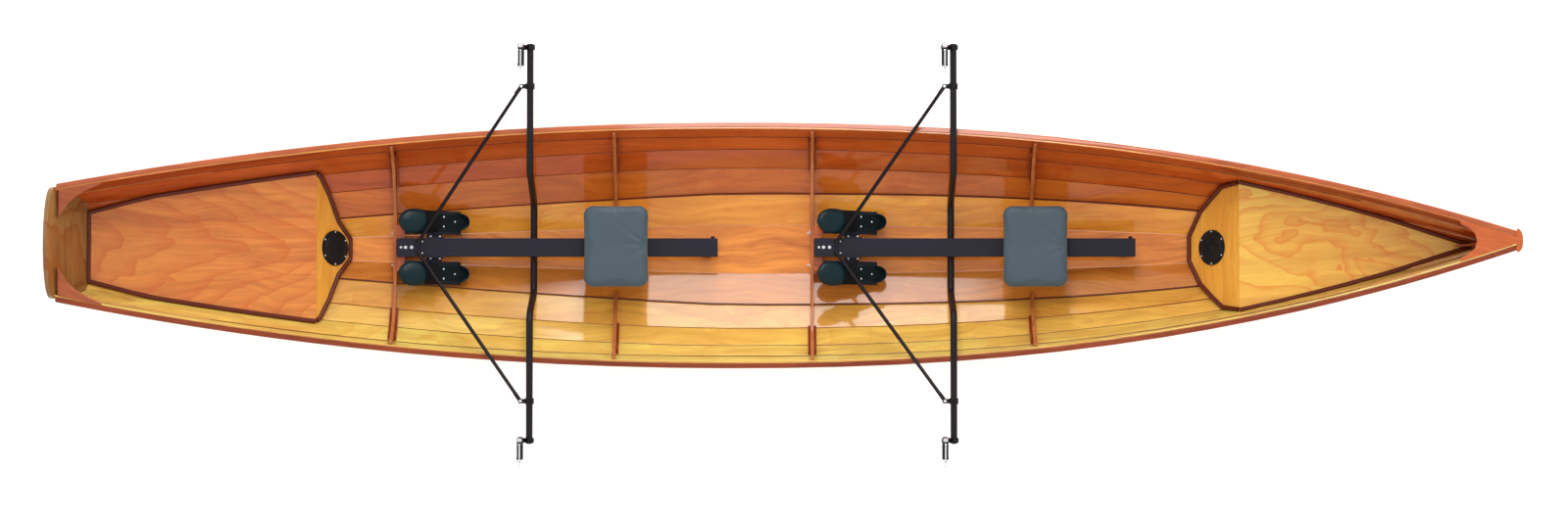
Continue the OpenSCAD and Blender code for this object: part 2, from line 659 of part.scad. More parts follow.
module tube_ring(y, w, wall) {
    translate([wing_x, y, wing_z]) rotate([90, 0, 0]) difference() {
        cylinder(h = w, d = wing_d + 2 * wall, center = true);
        cylinder(h = w + 2, d = wing_d + 2 * gap, center = true);
    }
}
// Each clamp rings the tube, and its fork takes the stay's eye on a bolt.
module stay_clamps() {
    color("dimgray") each_end() {
        tube_ring(stay_y, 24, 5);
        for (z = [-9.3, 5.3]) difference() {
            translate([clamp_x - 8, stay_y - 9, wing_z + z])
                cube([clamp_back - wing_d / 2 + 6, 18, 4]);
            translate([clamp_x, stay_y, wing_z + z - 1]) cylinder(h = 6, d = 6 + 2 * gap);
        }
    }
}
module pin_brackets() {
    color("dimgray") each_end() {
        tube_ring(pin_y, 20, 6);
        difference() {
            union() {
                translate([clamp_x, pin_y - 10, wing_z - 8])
                    cube([clamp_back - wing_d / 2 - 3, 20, 16]);
                translate([clamp_x, pin_y, wing_z - 14]) cylinder(h = lock_z - gap - wing_z + 14, d = 30);
            }
            translate([clamp_x, pin_y, wing_z - 15]) cylinder(h = 60, d = pin_d + 2 * fit);
        }
    }
}
module oarlock_pins() {
    color(steel) each_end() translate([clamp_x, pin_y, 0]) {
        translate([0, 0, wing_z - 16]) cylinder(h = lock_z + lock_h - wing_z + 18, d = pin_d);
        translate([0, 0, wing_z - 24]) cylinder(h = 8, d = 22);
        translate([0, 0, lock_z + lock_h + 1]) cylinder(h = 6, d1 = 20, d2 = 13);
    }
}

// An oarlock turns on its pin; its horn reaches towards -Y and the gate closes over it.
hinge_out = 18;
gate_z = lock_h - 6;
sleeve_d = 24;
lock_w = 26;
lock_base = 7;
gate_axle_d = 4;
gate_len = lock_len - hinge_out + 34;
module at_lock(u, m) {
    translate([u + clamp_x, m * pin_y, lock_z]) children();
}
module oarlock(u, m) {
    color("black") at_lock(u, m) difference() {
        union() {
            cylinder(h = lock_h, d = sleeve_d);
            translate([-lock_w / 2, -lock_len, 0]) cube([lock_w, lock_len, lock_base]);
            translate([-lock_w / 2, -lock_len - 4, 0]) cube([lock_w, 8, gate_z - 5]);
            for (x = [-9, 5]) translate([x, -hinge_out - 5, gate_z - 6]) cube([4, hinge_out - 1, 12]);
        }
        translate([0, 0, -1]) cylinder(h = lock_h + 2, d = pin_d + 2 * fit);
        translate([0, -hinge_out, gate_z]) rotate([0, 90, 0])
            cylinder(h = lock_w, d = gate_axle_d + 2 * fit, center = true);
        translate([-4, -lock_len - 5, gate_z - 12]) cube([8, 10, 20]);
    }
}
module gate(u, m) {
    color(steel) at_lock(u, m) translate([0, -hinge_out, gate_z]) {
        rotate([0, 90, 0]) cylinder(h = 18, d = gate_axle_d, center = true);
        rotate([0, 90, 0]) cylinder(h = 8, d = 9, center = true);
        rotate([90, 0, 0]) cylinder(h = gate_len, d = 6);
        translate([0, -lock_len + hinge_out - 8, 0]) rotate([90, 0, 0]) {
            cylinder(h = 8, d = 16);
            translate([0, 0, 4]) rotate([0, 90, 0]) cylinder(h = 36, d = 5, center = true);
        }
        translate([0, 4 - gate_len, 0]) rotate([90, 0, 0]) cylinder(h = 6, d = 11);
    }
}
module aft_port_oarlock() { oarlock(units[0], 1); }
module aft_starboard_oarlock() { oarlock(units[0], -1); }
module fore_port_oarlock() { oarlock(units[1], 1); }
module fore_starboard_oarlock() { oarlock(units[1], -1); }
module aft_port_gate() { gate(units[0], 1); }
module aft_starboard_gate() { gate(units[0], -1); }
module fore_port_gate() { gate(units[1], 1); }
module fore_starboard_gate() { gate(units[1], -1); }

// ---- Sliding seats ----
axle_z = rail_top + wheel_d / 2 + gap;
plate_z = rail_top + wheel_d + 10;
axle_d = 8;
hanger_y = rail_w / 2 + 1;
module seat_frame(u) {
    color(steel) translate([u + seat_x, 0, 0]) {
        translate([-axle_gap / 2 - 24, 0, plate_z]) bar(axle_gap + 48, pad_w - 60, 5);
        for (x = [-1, 1], y = [-1, 1]) difference() {
            translate([x * axle_gap / 2 - 12, y * (hanger_y - 3), axle_z - 9])
                bar(24, 6, plate_z - axle_z + 10);
            translate([x * axle_gap / 2, 0, axle_z]) rotate([90, 0, 0])
                cylinder(h = 2 * rail_w, d = axle_d + 2 * fit, center = true);
        }
    }
}
module aft_seat_frame() { seat_frame(units[0]); }
module fore_seat_frame() { seat_frame(units[1]); }
module seat_pad(u) {
    a = pad_len / 2;
    b = pad_w / 2;
    color("slategray") translate([u + seat_x, 0, plate_z + 5 + gap]) linear_extrude(pad_t) {
        square([2 * a, 2 * (b - pad_r)], center = true);
        square([2 * (a - pad_r), 2 * b], center = true);
        for (x = [-1, 1], y = [-1, 1]) translate([x * (a - pad_r), y * (b - pad_r)]) circle(pad_r);
    }
}
module aft_seat_pad() { seat_pad(units[0]); }
module fore_seat_pad() { seat_pad(units[1]); }
module wheels(u, x) {
    translate([u + seat_x + x * axle_gap / 2, 0, axle_z]) rotate([90, 0, 0]) {
        color(steel) cylinder(h = 2 * hanger_y + 6, d = axle_d, center = true);
        color("white") for (z = [-1, 1]) translate([0, 0, z * 22])
            cylinder(h = 12, d = wheel_d, center = true);
    }
}
module aft_rear_wheels() { wheels(units[0], -1); }
module aft_front_wheels() { wheels(units[0], 1); }
module fore_rear_wheels() { wheels(units[1], -1); }
module fore_front_wheels() { wheels(units[1], 1); }

// Bolts through the foot frames, along the rails, at the clamps and round the hatches.
module button(d, h) {
    cylinder(h = h, d1 = d, d2 = d * 0.6);
}
module fasteners() {
    color(steel) {
        for (u = units) translate([u, 0, 0]) {
            for (y = [-72, 72]) translate([-frame_t / 2 - gap, y, 62]) rotate([0, -90, 0]) button(13, 5);
            translate([rail_from + 18, 0, rail_top + 4.6]) button(11, 3);
            for (y = [-24, 24]) translate([rail_from + 106, y, rail_top + 4.6]) button(8, 3);
            for (x = [139, 177], y = [-1, 1])
                translate([rail_from + x, y * (rail_w / 2 + 5 + 2 * gap), rail_z + 26])
                    rotate([-90 * y, 0, 0]) button(11, 6);
        }
        for (e = ends, a = [30 : 60 : 330]) on_hatch(e) rotate(a)
            translate([hatch_d / 2 - 6.5, 0, 5 + 2 * gap]) button(7, 2);
    }
    color("rosybrown") for (u = units, x = [37, 62])
        translate([u + rail_from + x, 0, rail_top + 4.6]) button(15, 4);
    color(steel) each_end() translate([clamp_x, stay_y, 0]) {
        translate([0, 0, wing_z - 12]) cylinder(h = 24, d = 6);
        for (z = [-14, 9.6]) translate([0, 0, wing_z + z]) cylinder(h = 4.4, d = 13, $fn = 6);
    }
}

bottom_panel();
plank(0);  // garboard_port
plank(1);  // second_port
plank(2);  // third_port
plank(3);  // fourth_port
plank(4);  // sheer_port
starboard() plank(0);  // garboard_starboard
starboard() plank(1);  // second_starboard
starboard() plank(2);  // third_starboard
starboard() plank(3);  // fourth_starboard
starboard() plank(4);  // sheer_starboard
transom();
stem();
skeg();
outwale();  // outwale_port
starboard() outwale();  // outwale_starboard
breasthook();
quarter_knees();
stern_deck();
bow_deck();
stern_bulkhead();
bow_bulkhead();
foot_frames();
side_frames();
frame_cheeks();
hatch_rings();
stern_hatch_lid();
bow_hatch_lid();
aft_rail();
fore_rail();
rail_supports();
foot_brackets();
aft_wing_tube();
fore_wing_tube();
tube_saddles();
aft_stays();
fore_stays();
stay_clamps();
pin_brackets();
oarlock_pins();
aft_shoes();
fore_shoes();
shoe_straps();
fasteners();
aft_seat_frame();
fore_seat_frame();
aft_seat_pad();
fore_seat_pad();
aft_rear_wheels();
aft_front_wheels();
fore_rear_wheels();
fore_front_wheels();
aft_port_oarlock();
aft_starboard_oarlock();
fore_port_oarlock();
fore_starboard_oarlock();
aft_port_gate();
aft_starboard_gate();
fore_port_gate();
fore_starboard_gate();
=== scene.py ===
"""Two-seat rowing wherry: the visual pieces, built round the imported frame."""
import json
import math

import bmesh
import bpy
from bpy.props import FloatProperty, FloatVectorProperty, IntProperty, PointerProperty
from mathutils import Matrix, Vector


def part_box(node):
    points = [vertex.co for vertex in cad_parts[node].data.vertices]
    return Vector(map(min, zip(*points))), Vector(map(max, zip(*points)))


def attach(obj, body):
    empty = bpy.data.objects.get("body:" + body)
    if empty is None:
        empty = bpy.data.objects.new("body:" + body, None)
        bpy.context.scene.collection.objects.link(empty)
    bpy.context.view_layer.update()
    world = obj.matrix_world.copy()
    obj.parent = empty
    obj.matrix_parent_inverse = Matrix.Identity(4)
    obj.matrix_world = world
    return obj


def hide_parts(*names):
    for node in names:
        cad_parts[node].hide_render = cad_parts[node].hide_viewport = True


bl_info = {
    "name": "Rowing Wherry",
    "version": (1, 0, 0),
    "blender": (4, 5, 0),
    "location": "View3D > Sidebar > Wherry",
    "description": "Builds the pieces and finishes of a two-seat rowing wherry",
    "category": "Object",
}

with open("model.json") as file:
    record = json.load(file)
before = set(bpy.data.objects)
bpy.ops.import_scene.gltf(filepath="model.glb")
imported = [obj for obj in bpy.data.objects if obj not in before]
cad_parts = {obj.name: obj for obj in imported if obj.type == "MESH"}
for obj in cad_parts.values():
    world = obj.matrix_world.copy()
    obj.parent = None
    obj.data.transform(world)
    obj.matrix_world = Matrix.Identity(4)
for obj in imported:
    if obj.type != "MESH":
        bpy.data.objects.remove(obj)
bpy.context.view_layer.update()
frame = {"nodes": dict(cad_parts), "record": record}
MM = 0.001
UNITS = ("aft", "fore")
SIDES = (("port", 1), ("starboard", -1))
STRAKES = ("garboard", "second", "third", "fourth", "sheer")
END_LIDS = (("stern", 1), ("bow", -1))


# ---------------------------------------------------------------- sizes and colours
def tone(name, text, rgb):
    return FloatVectorProperty(name=name, description=text, subtype="COLOR", size=3, default=rgb,
                               min=0.0, max=1.0)


def length(name, text, value):
    return FloatProperty(name=name, description=text, default=value, min=0.0, unit="LENGTH")


def amount(name, text, value, top=1.0):
    return FloatProperty(name=name, description=text, default=value, min=0.0, max=top)


class WherryWood(bpy.types.PropertyGroup):
    """Colours and gloss of the timber."""
    # The port and starboard plank colours are one okoume in two copies: the port one darkened as
    # painted shade, the starboard one lightened as painted light.
    port_plank: tone("Port planks", "Varnished okoume of the port planks", (0.76, 0.235, 0.034))
    starboard_plank: tone("Starboard planks", "Varnished okoume of the starboard planks",
                          (0.90, 0.53, 0.085))
    bottom: tone("Bottom", "Varnished okoume of the bottom panel", (1.0, 0.30, 0.042))
    stern_deck: tone("Stern deck", "Figured okoume of the stern deck", (0.78, 0.235, 0.036))
    bow_deck: tone("Bow deck", "Figured okoume of the bow deck", (1.0, 0.51, 0.075))
    bulkhead: tone("Bulkheads", "Straight-grained okoume of the bulkheads", (0.97, 0.44, 0.066))
    mahogany: tone("Mahogany", "Outwales, cheeks, stem and skeg", (0.44, 0.072, 0.016))
    knee: tone("Knees", "Breasthook and quarter knees", (0.64, 0.125, 0.020))
    frame_wood: tone("Frames", "Frames across the hull", (0.54, 0.165, 0.050))
    transom: tone("Transom", "Brown hardwood of the transom", (0.32, 0.142, 0.038))
    # The fillets' dark colour and their radius are partly the glue's own and partly painted shade:
    # dark and wide enough to take in the shadow that the port planks cast along the deck edges.
    fillet: tone("Fillets", "Thickened glue in the corners", (0.120, 0.020, 0.010))
    gloss: amount("Varnish", "Weight of the varnish coat", 1.0)
    edge_round: length("Edge rounding", "Radius of the sanded edges", 2.2 * MM)
    outer_skin: tone("Outside of the planks", "Varnished okoume outside", (0.72, 0.30, 0.055))
    lap_radius: length("Lap line radius", "Radius of the glue lines in the laps", 1.2 * MM)
    fillet_radius: length("Fillet radius", "Radius of the glue fillets", 9.5 * MM)


class WherryRig(bpy.types.PropertyGroup):
    """Colours and edges of the rowing units."""
    anodised: tone("Anodised", "Black anodised aluminium", (0.012, 0.011, 0.020))
    tube: tone("Tubes", "Wing tubes and stays", (0.008, 0.006, 0.008))
    steel: tone("Steel", "Stainless steel", (0.78, 0.78, 0.80))
    plastic: tone("Plastic", "Black moulded plastic", (0.012, 0.012, 0.014))
    nylon: tone("Wheel tread", "Nylon of the seat wheels", (0.72, 0.72, 0.70))
    edge: length("Edge", "Broken edge of the metal parts", 0.8 * MM)


class WherrySoft(bpy.types.PropertyGroup):
    """Seat pads, shoes and straps."""
    vinyl: tone("Vinyl", "Grey-blue seat vinyl", (0.046, 0.076, 0.098))
    shoe: tone("Shoe", "Dark blue-green moulded shoe", (0.003, 0.018, 0.024))
    webbing: tone("Webbing", "Black strap webbing", (0.009, 0.009, 0.011))
    voxel: length("Voxel", "Remesh size of a pad before its cloth is inflated", 6 * MM)
    swell: length("Swell", "Furthest that a pad's cover may move", 9 * MM)
    pressure: amount("Pressure", "Pressure inside a pad's cover", 4.0, 20.0)
    steps: IntProperty(name="Steps", description="Cloth steps", default=20, min=1, max=60)
    fill: amount("Fill", "How tight a pad is", 0.85)
    crease: length("Crease depth", "Depth of the wrinkles at a pad's bow edge", 3.2 * MM)


class WherryStage(bpy.types.PropertyGroup):
    """Camera, floor and lights."""
    camera_height: length("Camera height", "Height of the camera above the bottom", 20.0)
    camera_back: length("Camera offset", "How far the camera stands to starboard", 1.147)
    aim: FloatVectorProperty(name="Aim", description="Where the camera looks", size=3,
                             default=(0.006, -0.063, 0.31), subtype="TRANSLATION")
    lens: FloatProperty(name="Lens", description="Focal length in millimetres", default=110.8,
                        min=20.0)
    floor_glow: amount("Floor glow", "How much the floor lights itself, which pales the shadows", 0.60)
    floor: tone("Floor", "Plain pale floor", (0.80, 0.80, 0.80))
    key: FloatProperty(name="Key light", description="Power of the key light", default=300.0,
                       min=0.0, unit="POWER")
    sky: amount("Sky", "Strength of the even light", 0.86, 5.0)


class WherrySettings(bpy.types.PropertyGroup):
    """All settings of the wherry."""
    wood: PointerProperty(type=WherryWood)
    rig: PointerProperty(type=WherryRig)
    soft: PointerProperty(type=WherrySoft)
    stage: PointerProperty(type=WherryStage)


# ---------------------------------------------------------------- node groups
def new_group(name, inputs, outputs):
    """An empty shader node group with float inputs and the given outputs."""
    group = bpy.data.node_groups.new(name, "ShaderNodeTree")
    group.interface.new_socket("Vector", in_out="INPUT", socket_type="NodeSocketVector")
    for label, value in inputs:
        socket = group.interface.new_socket(label, in_out="INPUT", socket_type="NodeSocketFloat")
        socket.default_value = value
    for label in outputs:
        group.interface.new_socket(label, in_out="OUTPUT", socket_type="NodeSocketFloat")
    return group, group.nodes.new("NodeGroupInput"), group.nodes.new("NodeGroupOutput")


def feed(tree, socket, value):
    """Links a node's output to the socket, or sets the socket to a fixed value."""
    if isinstance(value, bpy.types.NodeSocket):
        tree.links.new(value, socket)
    else:
        socket.default_value = value


def math_node(tree, operation, a, b=0.0, clamp=False):
    node = tree.nodes.new("ShaderNodeMath")
    node.operation = operation
    node.use_clamp = clamp
    feed(tree, node.inputs[0], a)
    feed(tree, node.inputs[1], b)
    return node.outputs[0]


def scaled(tree, value, factor, centre=0.0):
    """How far the value lies from a centre, times the factor."""
    if centre:
        value = math_node(tree, "SUBTRACT", value, centre)
    return math_node(tree, "MULTIPLY", value, factor)


def stretched(tree, vector, scale):
    """The vector scaled by three fixed numbers."""
    node = tree.nodes.new("ShaderNodeMapping")
    node.inputs["Scale"].default_value = scale
    tree.links.new(vector, node.inputs["Vector"])
    return node.outputs[0]


def noise(tree, vector, scale, detail=3.0, rough=0.5, warp=0.0, output="Fac"):
    node = tree.nodes.new("ShaderNodeTexNoise")
    for label, value in (("Vector", vector), ("Scale", scale), ("Detail", detail),
                         ("Roughness", rough), ("Distortion", warp)):
        feed(tree, node.inputs[label], value)
    return node.outputs[output]


def vector_math(tree, operation, a, b):
    node = tree.nodes.new("ShaderNodeVectorMath")
    node.operation = operation
    feed(tree, node.inputs[0], a)
    feed(tree, node.inputs[1], b)
    return node.outputs[0]


def seeded(group, source):
    """The group's vector moved by its seed, so that two pieces never share a pattern."""
    shift = group.nodes.new("ShaderNodeCombineXYZ")
    for axis in "XYZ":
        group.links.new(source.outputs["Seed"], shift.inputs[axis])
    return vector_math(group, "ADD", source.outputs["Vector"], shift.outputs[0])


def grain_group():
    """Timber grain along X: wandering broad streaks, fine lines, pores and slow colour drift."""
    group, source, sink = new_group("timber_grain", [("Streak", 1.0), ("Seed", 0.0)],
                                    ["Tone", "Pores", "Drift"])
    at = seeded(group, source)
    wander = noise(group, at, 1.5, 2.0, output="Color")
    away = vector_math(group, "SUBTRACT", wander, (0.5, 0.5, 0.5))
    at = vector_math(group, "ADD", at, vector_math(group, "MULTIPLY", away, (0.0, 0.24, 0.16)))
    streak = noise(group, stretched(group, at, (0.9, 14.0, 10.0)), 1.6, 5.0, 0.6, 0.7)
    fine = noise(group, stretched(group, at, (2.2, 75.0, 60.0)), 1.0, 3.0, 0.6)
    pores = noise(group, stretched(group, at, (9.0, 260.0, 260.0)), 1.0, 2.0, 0.6)
    drift = noise(group, stretched(group, at, (1.3, 4.0, 4.0)), 1.0, 2.5)
    broad = scaled(group, streak, scaled(group, source.outputs["Streak"], 2.4), 0.5)
    mixed = math_node(group, "ADD", broad, scaled(group, fine, 1.1, 0.5))
    spread = scaled(group, drift, 3.0, 0.42)
    group.links.new(math_node(group, "ADD", mixed, 0.56, True), sink.inputs["Tone"])
    group.links.new(pores, sink.inputs["Pores"])
    group.links.new(math_node(group, "ADD", spread, 0.0, True), sink.inputs["Drift"])
    return group


def figure_group():
    """Rotary-cut veneer figure: nested contour lines, pulled into arches along X by Peak."""
    group, source, sink = new_group("veneer_figure", [("Rings", 9.0), ("Seed", 0.0), ("Peak", 0.0)],
                                    ["Lines", "Swell"])
    at = seeded(group, source)
    swell = noise(group, stretched(group, at, (1.5, 3.2, 1.0)), 1.2, 3.2, 0.45, 0.5)
    ripple = noise(group, stretched(group, at, (9.0, 9.0, 2.0)), 1.0, 2.0)
    parts = group.nodes.new("ShaderNodeSeparateXYZ")
    group.links.new(source.outputs["Vector"], parts.inputs[0])
    square = scaled(group, parts.outputs["Y"], parts.outputs["Y"])
    flank = math_node(group, "POWER", math_node(group, "ADD", square, 0.004), 0.5)
    arch = math_node(group, "ADD", parts.outputs["X"], scaled(group, flank, 1.9))
    turns = math_node(group, "ADD", scaled(group, swell, source.outputs["Rings"]),
                      scaled(group, ripple, 0.35))
    turns = math_node(group, "ADD", turns, scaled(group, arch, source.outputs["Peak"]))
    phase = math_node(group, "FRACT", turns)
    group.links.new(math_node(group, "POWER", phase, 3.2), sink.inputs["Lines"])
    pale = scaled(group, swell, 4.0, 0.44)
    group.links.new(math_node(group, "ADD", pale, 0.0, True), sink.inputs["Swell"])
    return group


def wear_group():
    """Fine handling marks and dust, as a slow mask and a fine one."""
    group, source, sink = new_group("surface_wear", [("Size", 30.0)], ["Smudge", "Fine"])
    at = source.outputs["Vector"]
    group.links.new(noise(group, at, source.outputs["Size"], 4.0), sink.inputs["Smudge"])
    group.links.new(noise(group, at, 900.0, 2.0), sink.inputs["Fine"])
    return group


GROUP_MAKERS = {"timber_grain": grain_group, "veneer_figure": figure_group, "surface_wear": wear_group}


def place_group(tree, name, vector, **values):
    """The named group in a material, made the first time that it is asked for."""
    node = tree.nodes.new("ShaderNodeGroup")
    node.node_tree = bpy.data.node_groups.get(name) or GROUP_MAKERS[name]()
    tree.links.new(vector, node.inputs["Vector"])
    for label, value in values.items():
        node.inputs[label].default_value = value
    return node


# ---------------------------------------------------------------- materials
def new_material(name):
    """An empty material with its shader and its object coordinates."""
    mat = bpy.data.materials.new(name)
    mat.use_nodes = True
    shader = mat.node_tree.nodes["Principled BSDF"]
    where = mat.node_tree.nodes.new("ShaderNodeTexCoord").outputs["Object"]
    return mat, mat.node_tree, shader, where


def toned(colour, factor, shift=(1.0, 1.0, 1.0)):
    """The colour made lighter or darker, with each channel shifted."""
    return tuple(min(1.0, c * factor * s) for c, s in zip(colour, shift))


def shade(colour, factor, shift=(1.0, 1.0, 1.0)):
    """A toned colour with its alpha, as a socket takes it."""
    return toned(colour, factor, shift) + (1.0,)


def mix_colour(tree, factor, a, b):
    node = tree.nodes.new("ShaderNodeMix")
    node.data_type = "RGBA"
    sockets = [s for s in node.inputs if s.enabled]
    for socket, value in zip(sockets, (factor, a, b)):
        feed(tree, socket, value)
    return [s for s in node.outputs if s.enabled][0]


def bump(tree, shader, height, strength, distance):
    node = tree.nodes.new("ShaderNodeBump")
    node.inputs["Strength"].default_value = strength
    node.inputs["Distance"].default_value = distance
    tree.links.new(height, node.inputs["Height"])
    tree.links.new(node.outputs["Normal"], shader.inputs["Normal"])


def pebbled(tree, shader, where, grit, strength, distance):
    """A fine bump of cells, as on moulded plastic and vinyl."""
    cells = tree.nodes.new("ShaderNodeTexVoronoi")
    cells.inputs["Scale"].default_value = grit
    tree.links.new(where, cells.inputs["Vector"])
    bump(tree, shader, cells.outputs["Distance"], strength, distance)


def coated(tree, shader, base, smudge, spread, rough, **values):
    """Gives the shader its colour, a roughness that follows the smudges and its fixed values."""
    tree.links.new(base, shader.inputs["Base Color"])
    tree.links.new(math_node(tree, "ADD", scaled(tree, smudge, spread), rough),
                   shader.inputs["Roughness"])
    for label, value in values.items():
        shader.inputs[label.replace("_", " ")].default_value = value


def smudged(name, colour, dark, pale, size, spread, rough, **values):
    """A material whose colour and roughness both follow handling smudges of one size."""
    mat, tree, shader, where = new_material(name)
    wear = place_group(tree, "surface_wear", where, Size=size)
    smudge = wear.outputs["Smudge"]
    base = mix_colour(tree, smudge, shade(colour, dark), shade(colour, pale))
    coated(tree, shader, base, smudge, spread, rough, **values)
    return mat, tree, shader, where, wear


def varnished(name, colour, seed, streak=1.0, dark=0.55, turn=0.0, figure=0.0, peak=0.0,
              depth=0.5, coat=1.0, skin=None, way=0):
    """Varnished timber with its grain along X, or turned about Z; figure adds veneer contours.

    The faces that look outboard, towards way along Y, take the colour skin."""
    mat, tree, shader, where = new_material(name)
    mapping = tree.nodes.new("ShaderNodeMapping")
    mapping.inputs["Rotation"].default_value = (0.0, 0.0, turn)
    tree.links.new(where, mapping.inputs["Vector"])
    at = mapping.outputs[0]
    grain = place_group(tree, "timber_grain", at, Streak=streak, Seed=seed)

    def grained(timber, low):
        return mix_colour(tree, grain.outputs["Tone"], shade(timber, low, (1.0, 0.86, 0.8)),
                          shade(timber, 1.10, (1.0, 1.08, 1.1)))

    base = mix_colour(tree, scaled(tree, grain.outputs["Drift"], 0.5), grained(colour, dark),
                      shade(colour, 0.80, (1.05, 0.84, 0.7)))
    if figure:
        veneer = place_group(tree, "veneer_figure", at, Rings=figure, Seed=seed, Peak=peak)
        base = mix_colour(tree, scaled(tree, veneer.outputs["Swell"], depth * 0.8), base,
                          shade(colour, 1.12, (1.02, 1.30, 1.5)))
        base = mix_colour(tree, scaled(tree, veneer.outputs["Lines"], depth), base,
                          shade(colour, 0.78, (1.0, 0.60, 0.30)))
    if skin:
        facing = tree.nodes.new("ShaderNodeSeparateXYZ")
        tree.links.new(where.node.outputs["Normal"], facing.inputs[0])
        outboard = math_node(tree, "GREATER_THAN", scaled(tree, facing.outputs["Y"], way), 0.05)
        base = mix_colour(tree, outboard, base, grained(skin, 0.66))
    pore_mask = math_node(tree, "GREATER_THAN", grain.outputs["Pores"], 0.64)
    base = mix_colour(tree, scaled(tree, pore_mask, 0.22), base,
                      shade(colour, 0.45, (1.0, 0.75, 0.6)))
    wear = place_group(tree, "surface_wear", where, Size=4.0)
    coated(tree, shader, base, wear.outputs["Smudge"], 0.16, 0.36, Specular_IOR_Level=0.12,
           Coat_Weight=coat, Coat_Roughness=0.085, Coat_IOR=1.48)
    bump(tree, shader, grain.outputs["Pores"], 0.08, 0.0003)
    return mat


def metal(name, colour, rough, metallic=1.0):
    """Metal with handling smudges in its roughness and a fine brushed bump."""
    mat, tree, shader, _, wear = smudged(name, colour, 0.82, 1.2, 30.0, 0.14, rough - 0.07,
                                         Metallic=metallic)
    bump(tree, shader, wear.outputs["Fine"], 0.06, 0.0002)
    return mat


def streaked_black(name, colour):
    """Black anodised section with faint drawing lines along its length."""
    mat, tree, shader, where = new_material(name)
    lines = noise(tree, stretched(tree, where, (2.0, 140.0, 140.0)), 1.0, 4.0, 0.65)
    wear = place_group(tree, "surface_wear", where, Size=7.0)
    base = mix_colour(tree, lines, shade(colour, 0.6), shade(colour, 1.7, (1.0, 0.97, 1.06)))
    coated(tree, shader, base, wear.outputs["Smudge"], 0.2, 0.34, Specular_IOR_Level=0.22)
    bump(tree, shader, lines, 0.12, 0.0003)
    return mat


def moulded(name, colour, rough, grain, grit=700.0, shine=0.5):
    """Moulded plastic or rubber with a fine pebbled skin."""
    mat, tree, shader, where, _ = smudged(name, colour, 0.75, 1.3, 14.0, 0.18, rough - 0.09,
                                          Specular_IOR_Level=shine)
    pebbled(tree, shader, where, grit, grain, 0.0006)
    return mat


def woven(name, colour):
    """Webbing: crossed ribs at thread scale."""
    mat, tree, shader, where = new_material(name)
    ribs = []
    for direction, scale in (("X", 260.0), ("Y", 180.0)):
        wave = tree.nodes.new("ShaderNodeTexWave")
        wave.bands_direction = direction
        wave.inputs["Scale"].default_value = scale
        wave.inputs["Distortion"].default_value = 0.4
        tree.links.new(where, wave.inputs["Vector"])
        ribs.append(wave.outputs["Fac"])
    weave = math_node(tree, "MULTIPLY", ribs[0], ribs[1])
    base = mix_colour(tree, weave, shade(colour, 0.5), shade(colour, 1.3))
    tree.links.new(base, shader.inputs["Base Color"])
    shader.inputs["Roughness"].default_value = 0.85
    shader.inputs["Specular IOR Level"].default_value = 0.15
    bump(tree, shader, weave, 0.5, 0.0008)
    return mat


def vinyl(name, colour):
    """Seat vinyl: leather-like pebbles, soft sheen and slow colour variation."""
    mat, tree, shader, where, _ = smudged(name, colour, 0.86, 1.16, 6.0, 0.16, 0.44,
                                          Sheen_Weight=0.15)
    pebbled(tree, shader, where, 620.0, 0.22, 0.0008)
    return mat


def settings():
    return bpy.context.scene.wherry


# How each plank's inside colour departs from its side's colour, from the garboard up: painted light
# and shade, with the port planks darker towards the sheer and the starboard planks paler, with painted
# reflection, towards the sheer.
PLANK_LIGHT_AND_SHADE = {"port": ((1.30, 1.55, 1.3), (0.84, 0.62, 0.40), (0.74, 0.40, 0.22), (0.80, 0.44, 0.45),
                  (0.78, 0.46, 0.6)),
         "starboard": ((0.74, 0.42, 0.35), (0.90, 0.74, 0.7), (1.02, 1.02, 1.2),
                       (1.10, 1.22, 1.6), (1.11, 1.40, 2.2))}
# Where each side's planks start in the grain pattern, and how far apart their patterns lie.
PLANK_SEED = {"port": 0.4, "starboard": 5.9}
SEED_STEP = 1.7


def plank_finish(name):
    """A plank's finish: inside, its side's colour with the painted light and shade of its strake;
    outside, the colour of all the planks.
    """
    wood = settings().wood
    strake, side = name.split("_")
    index = STRAKES.index(strake)
    # The inside colour paints light and shade: the side's copy, lit for starboard and shaded for port,
    # toned for its strake with painted light, shade and reflection.
    colour = toned(getattr(wood, f"{side}_plank"), 1.0, PLANK_LIGHT_AND_SHADE[side][index])
    return varnished(name, colour, SEED_STEP * index + PLANK_SEED[side], 1.0, 0.66, figure=5.0,
                     depth=0.30, coat=wood.gloss, skin=tuple(wood.outer_skin),
                     way=dict(SIDES)[side])


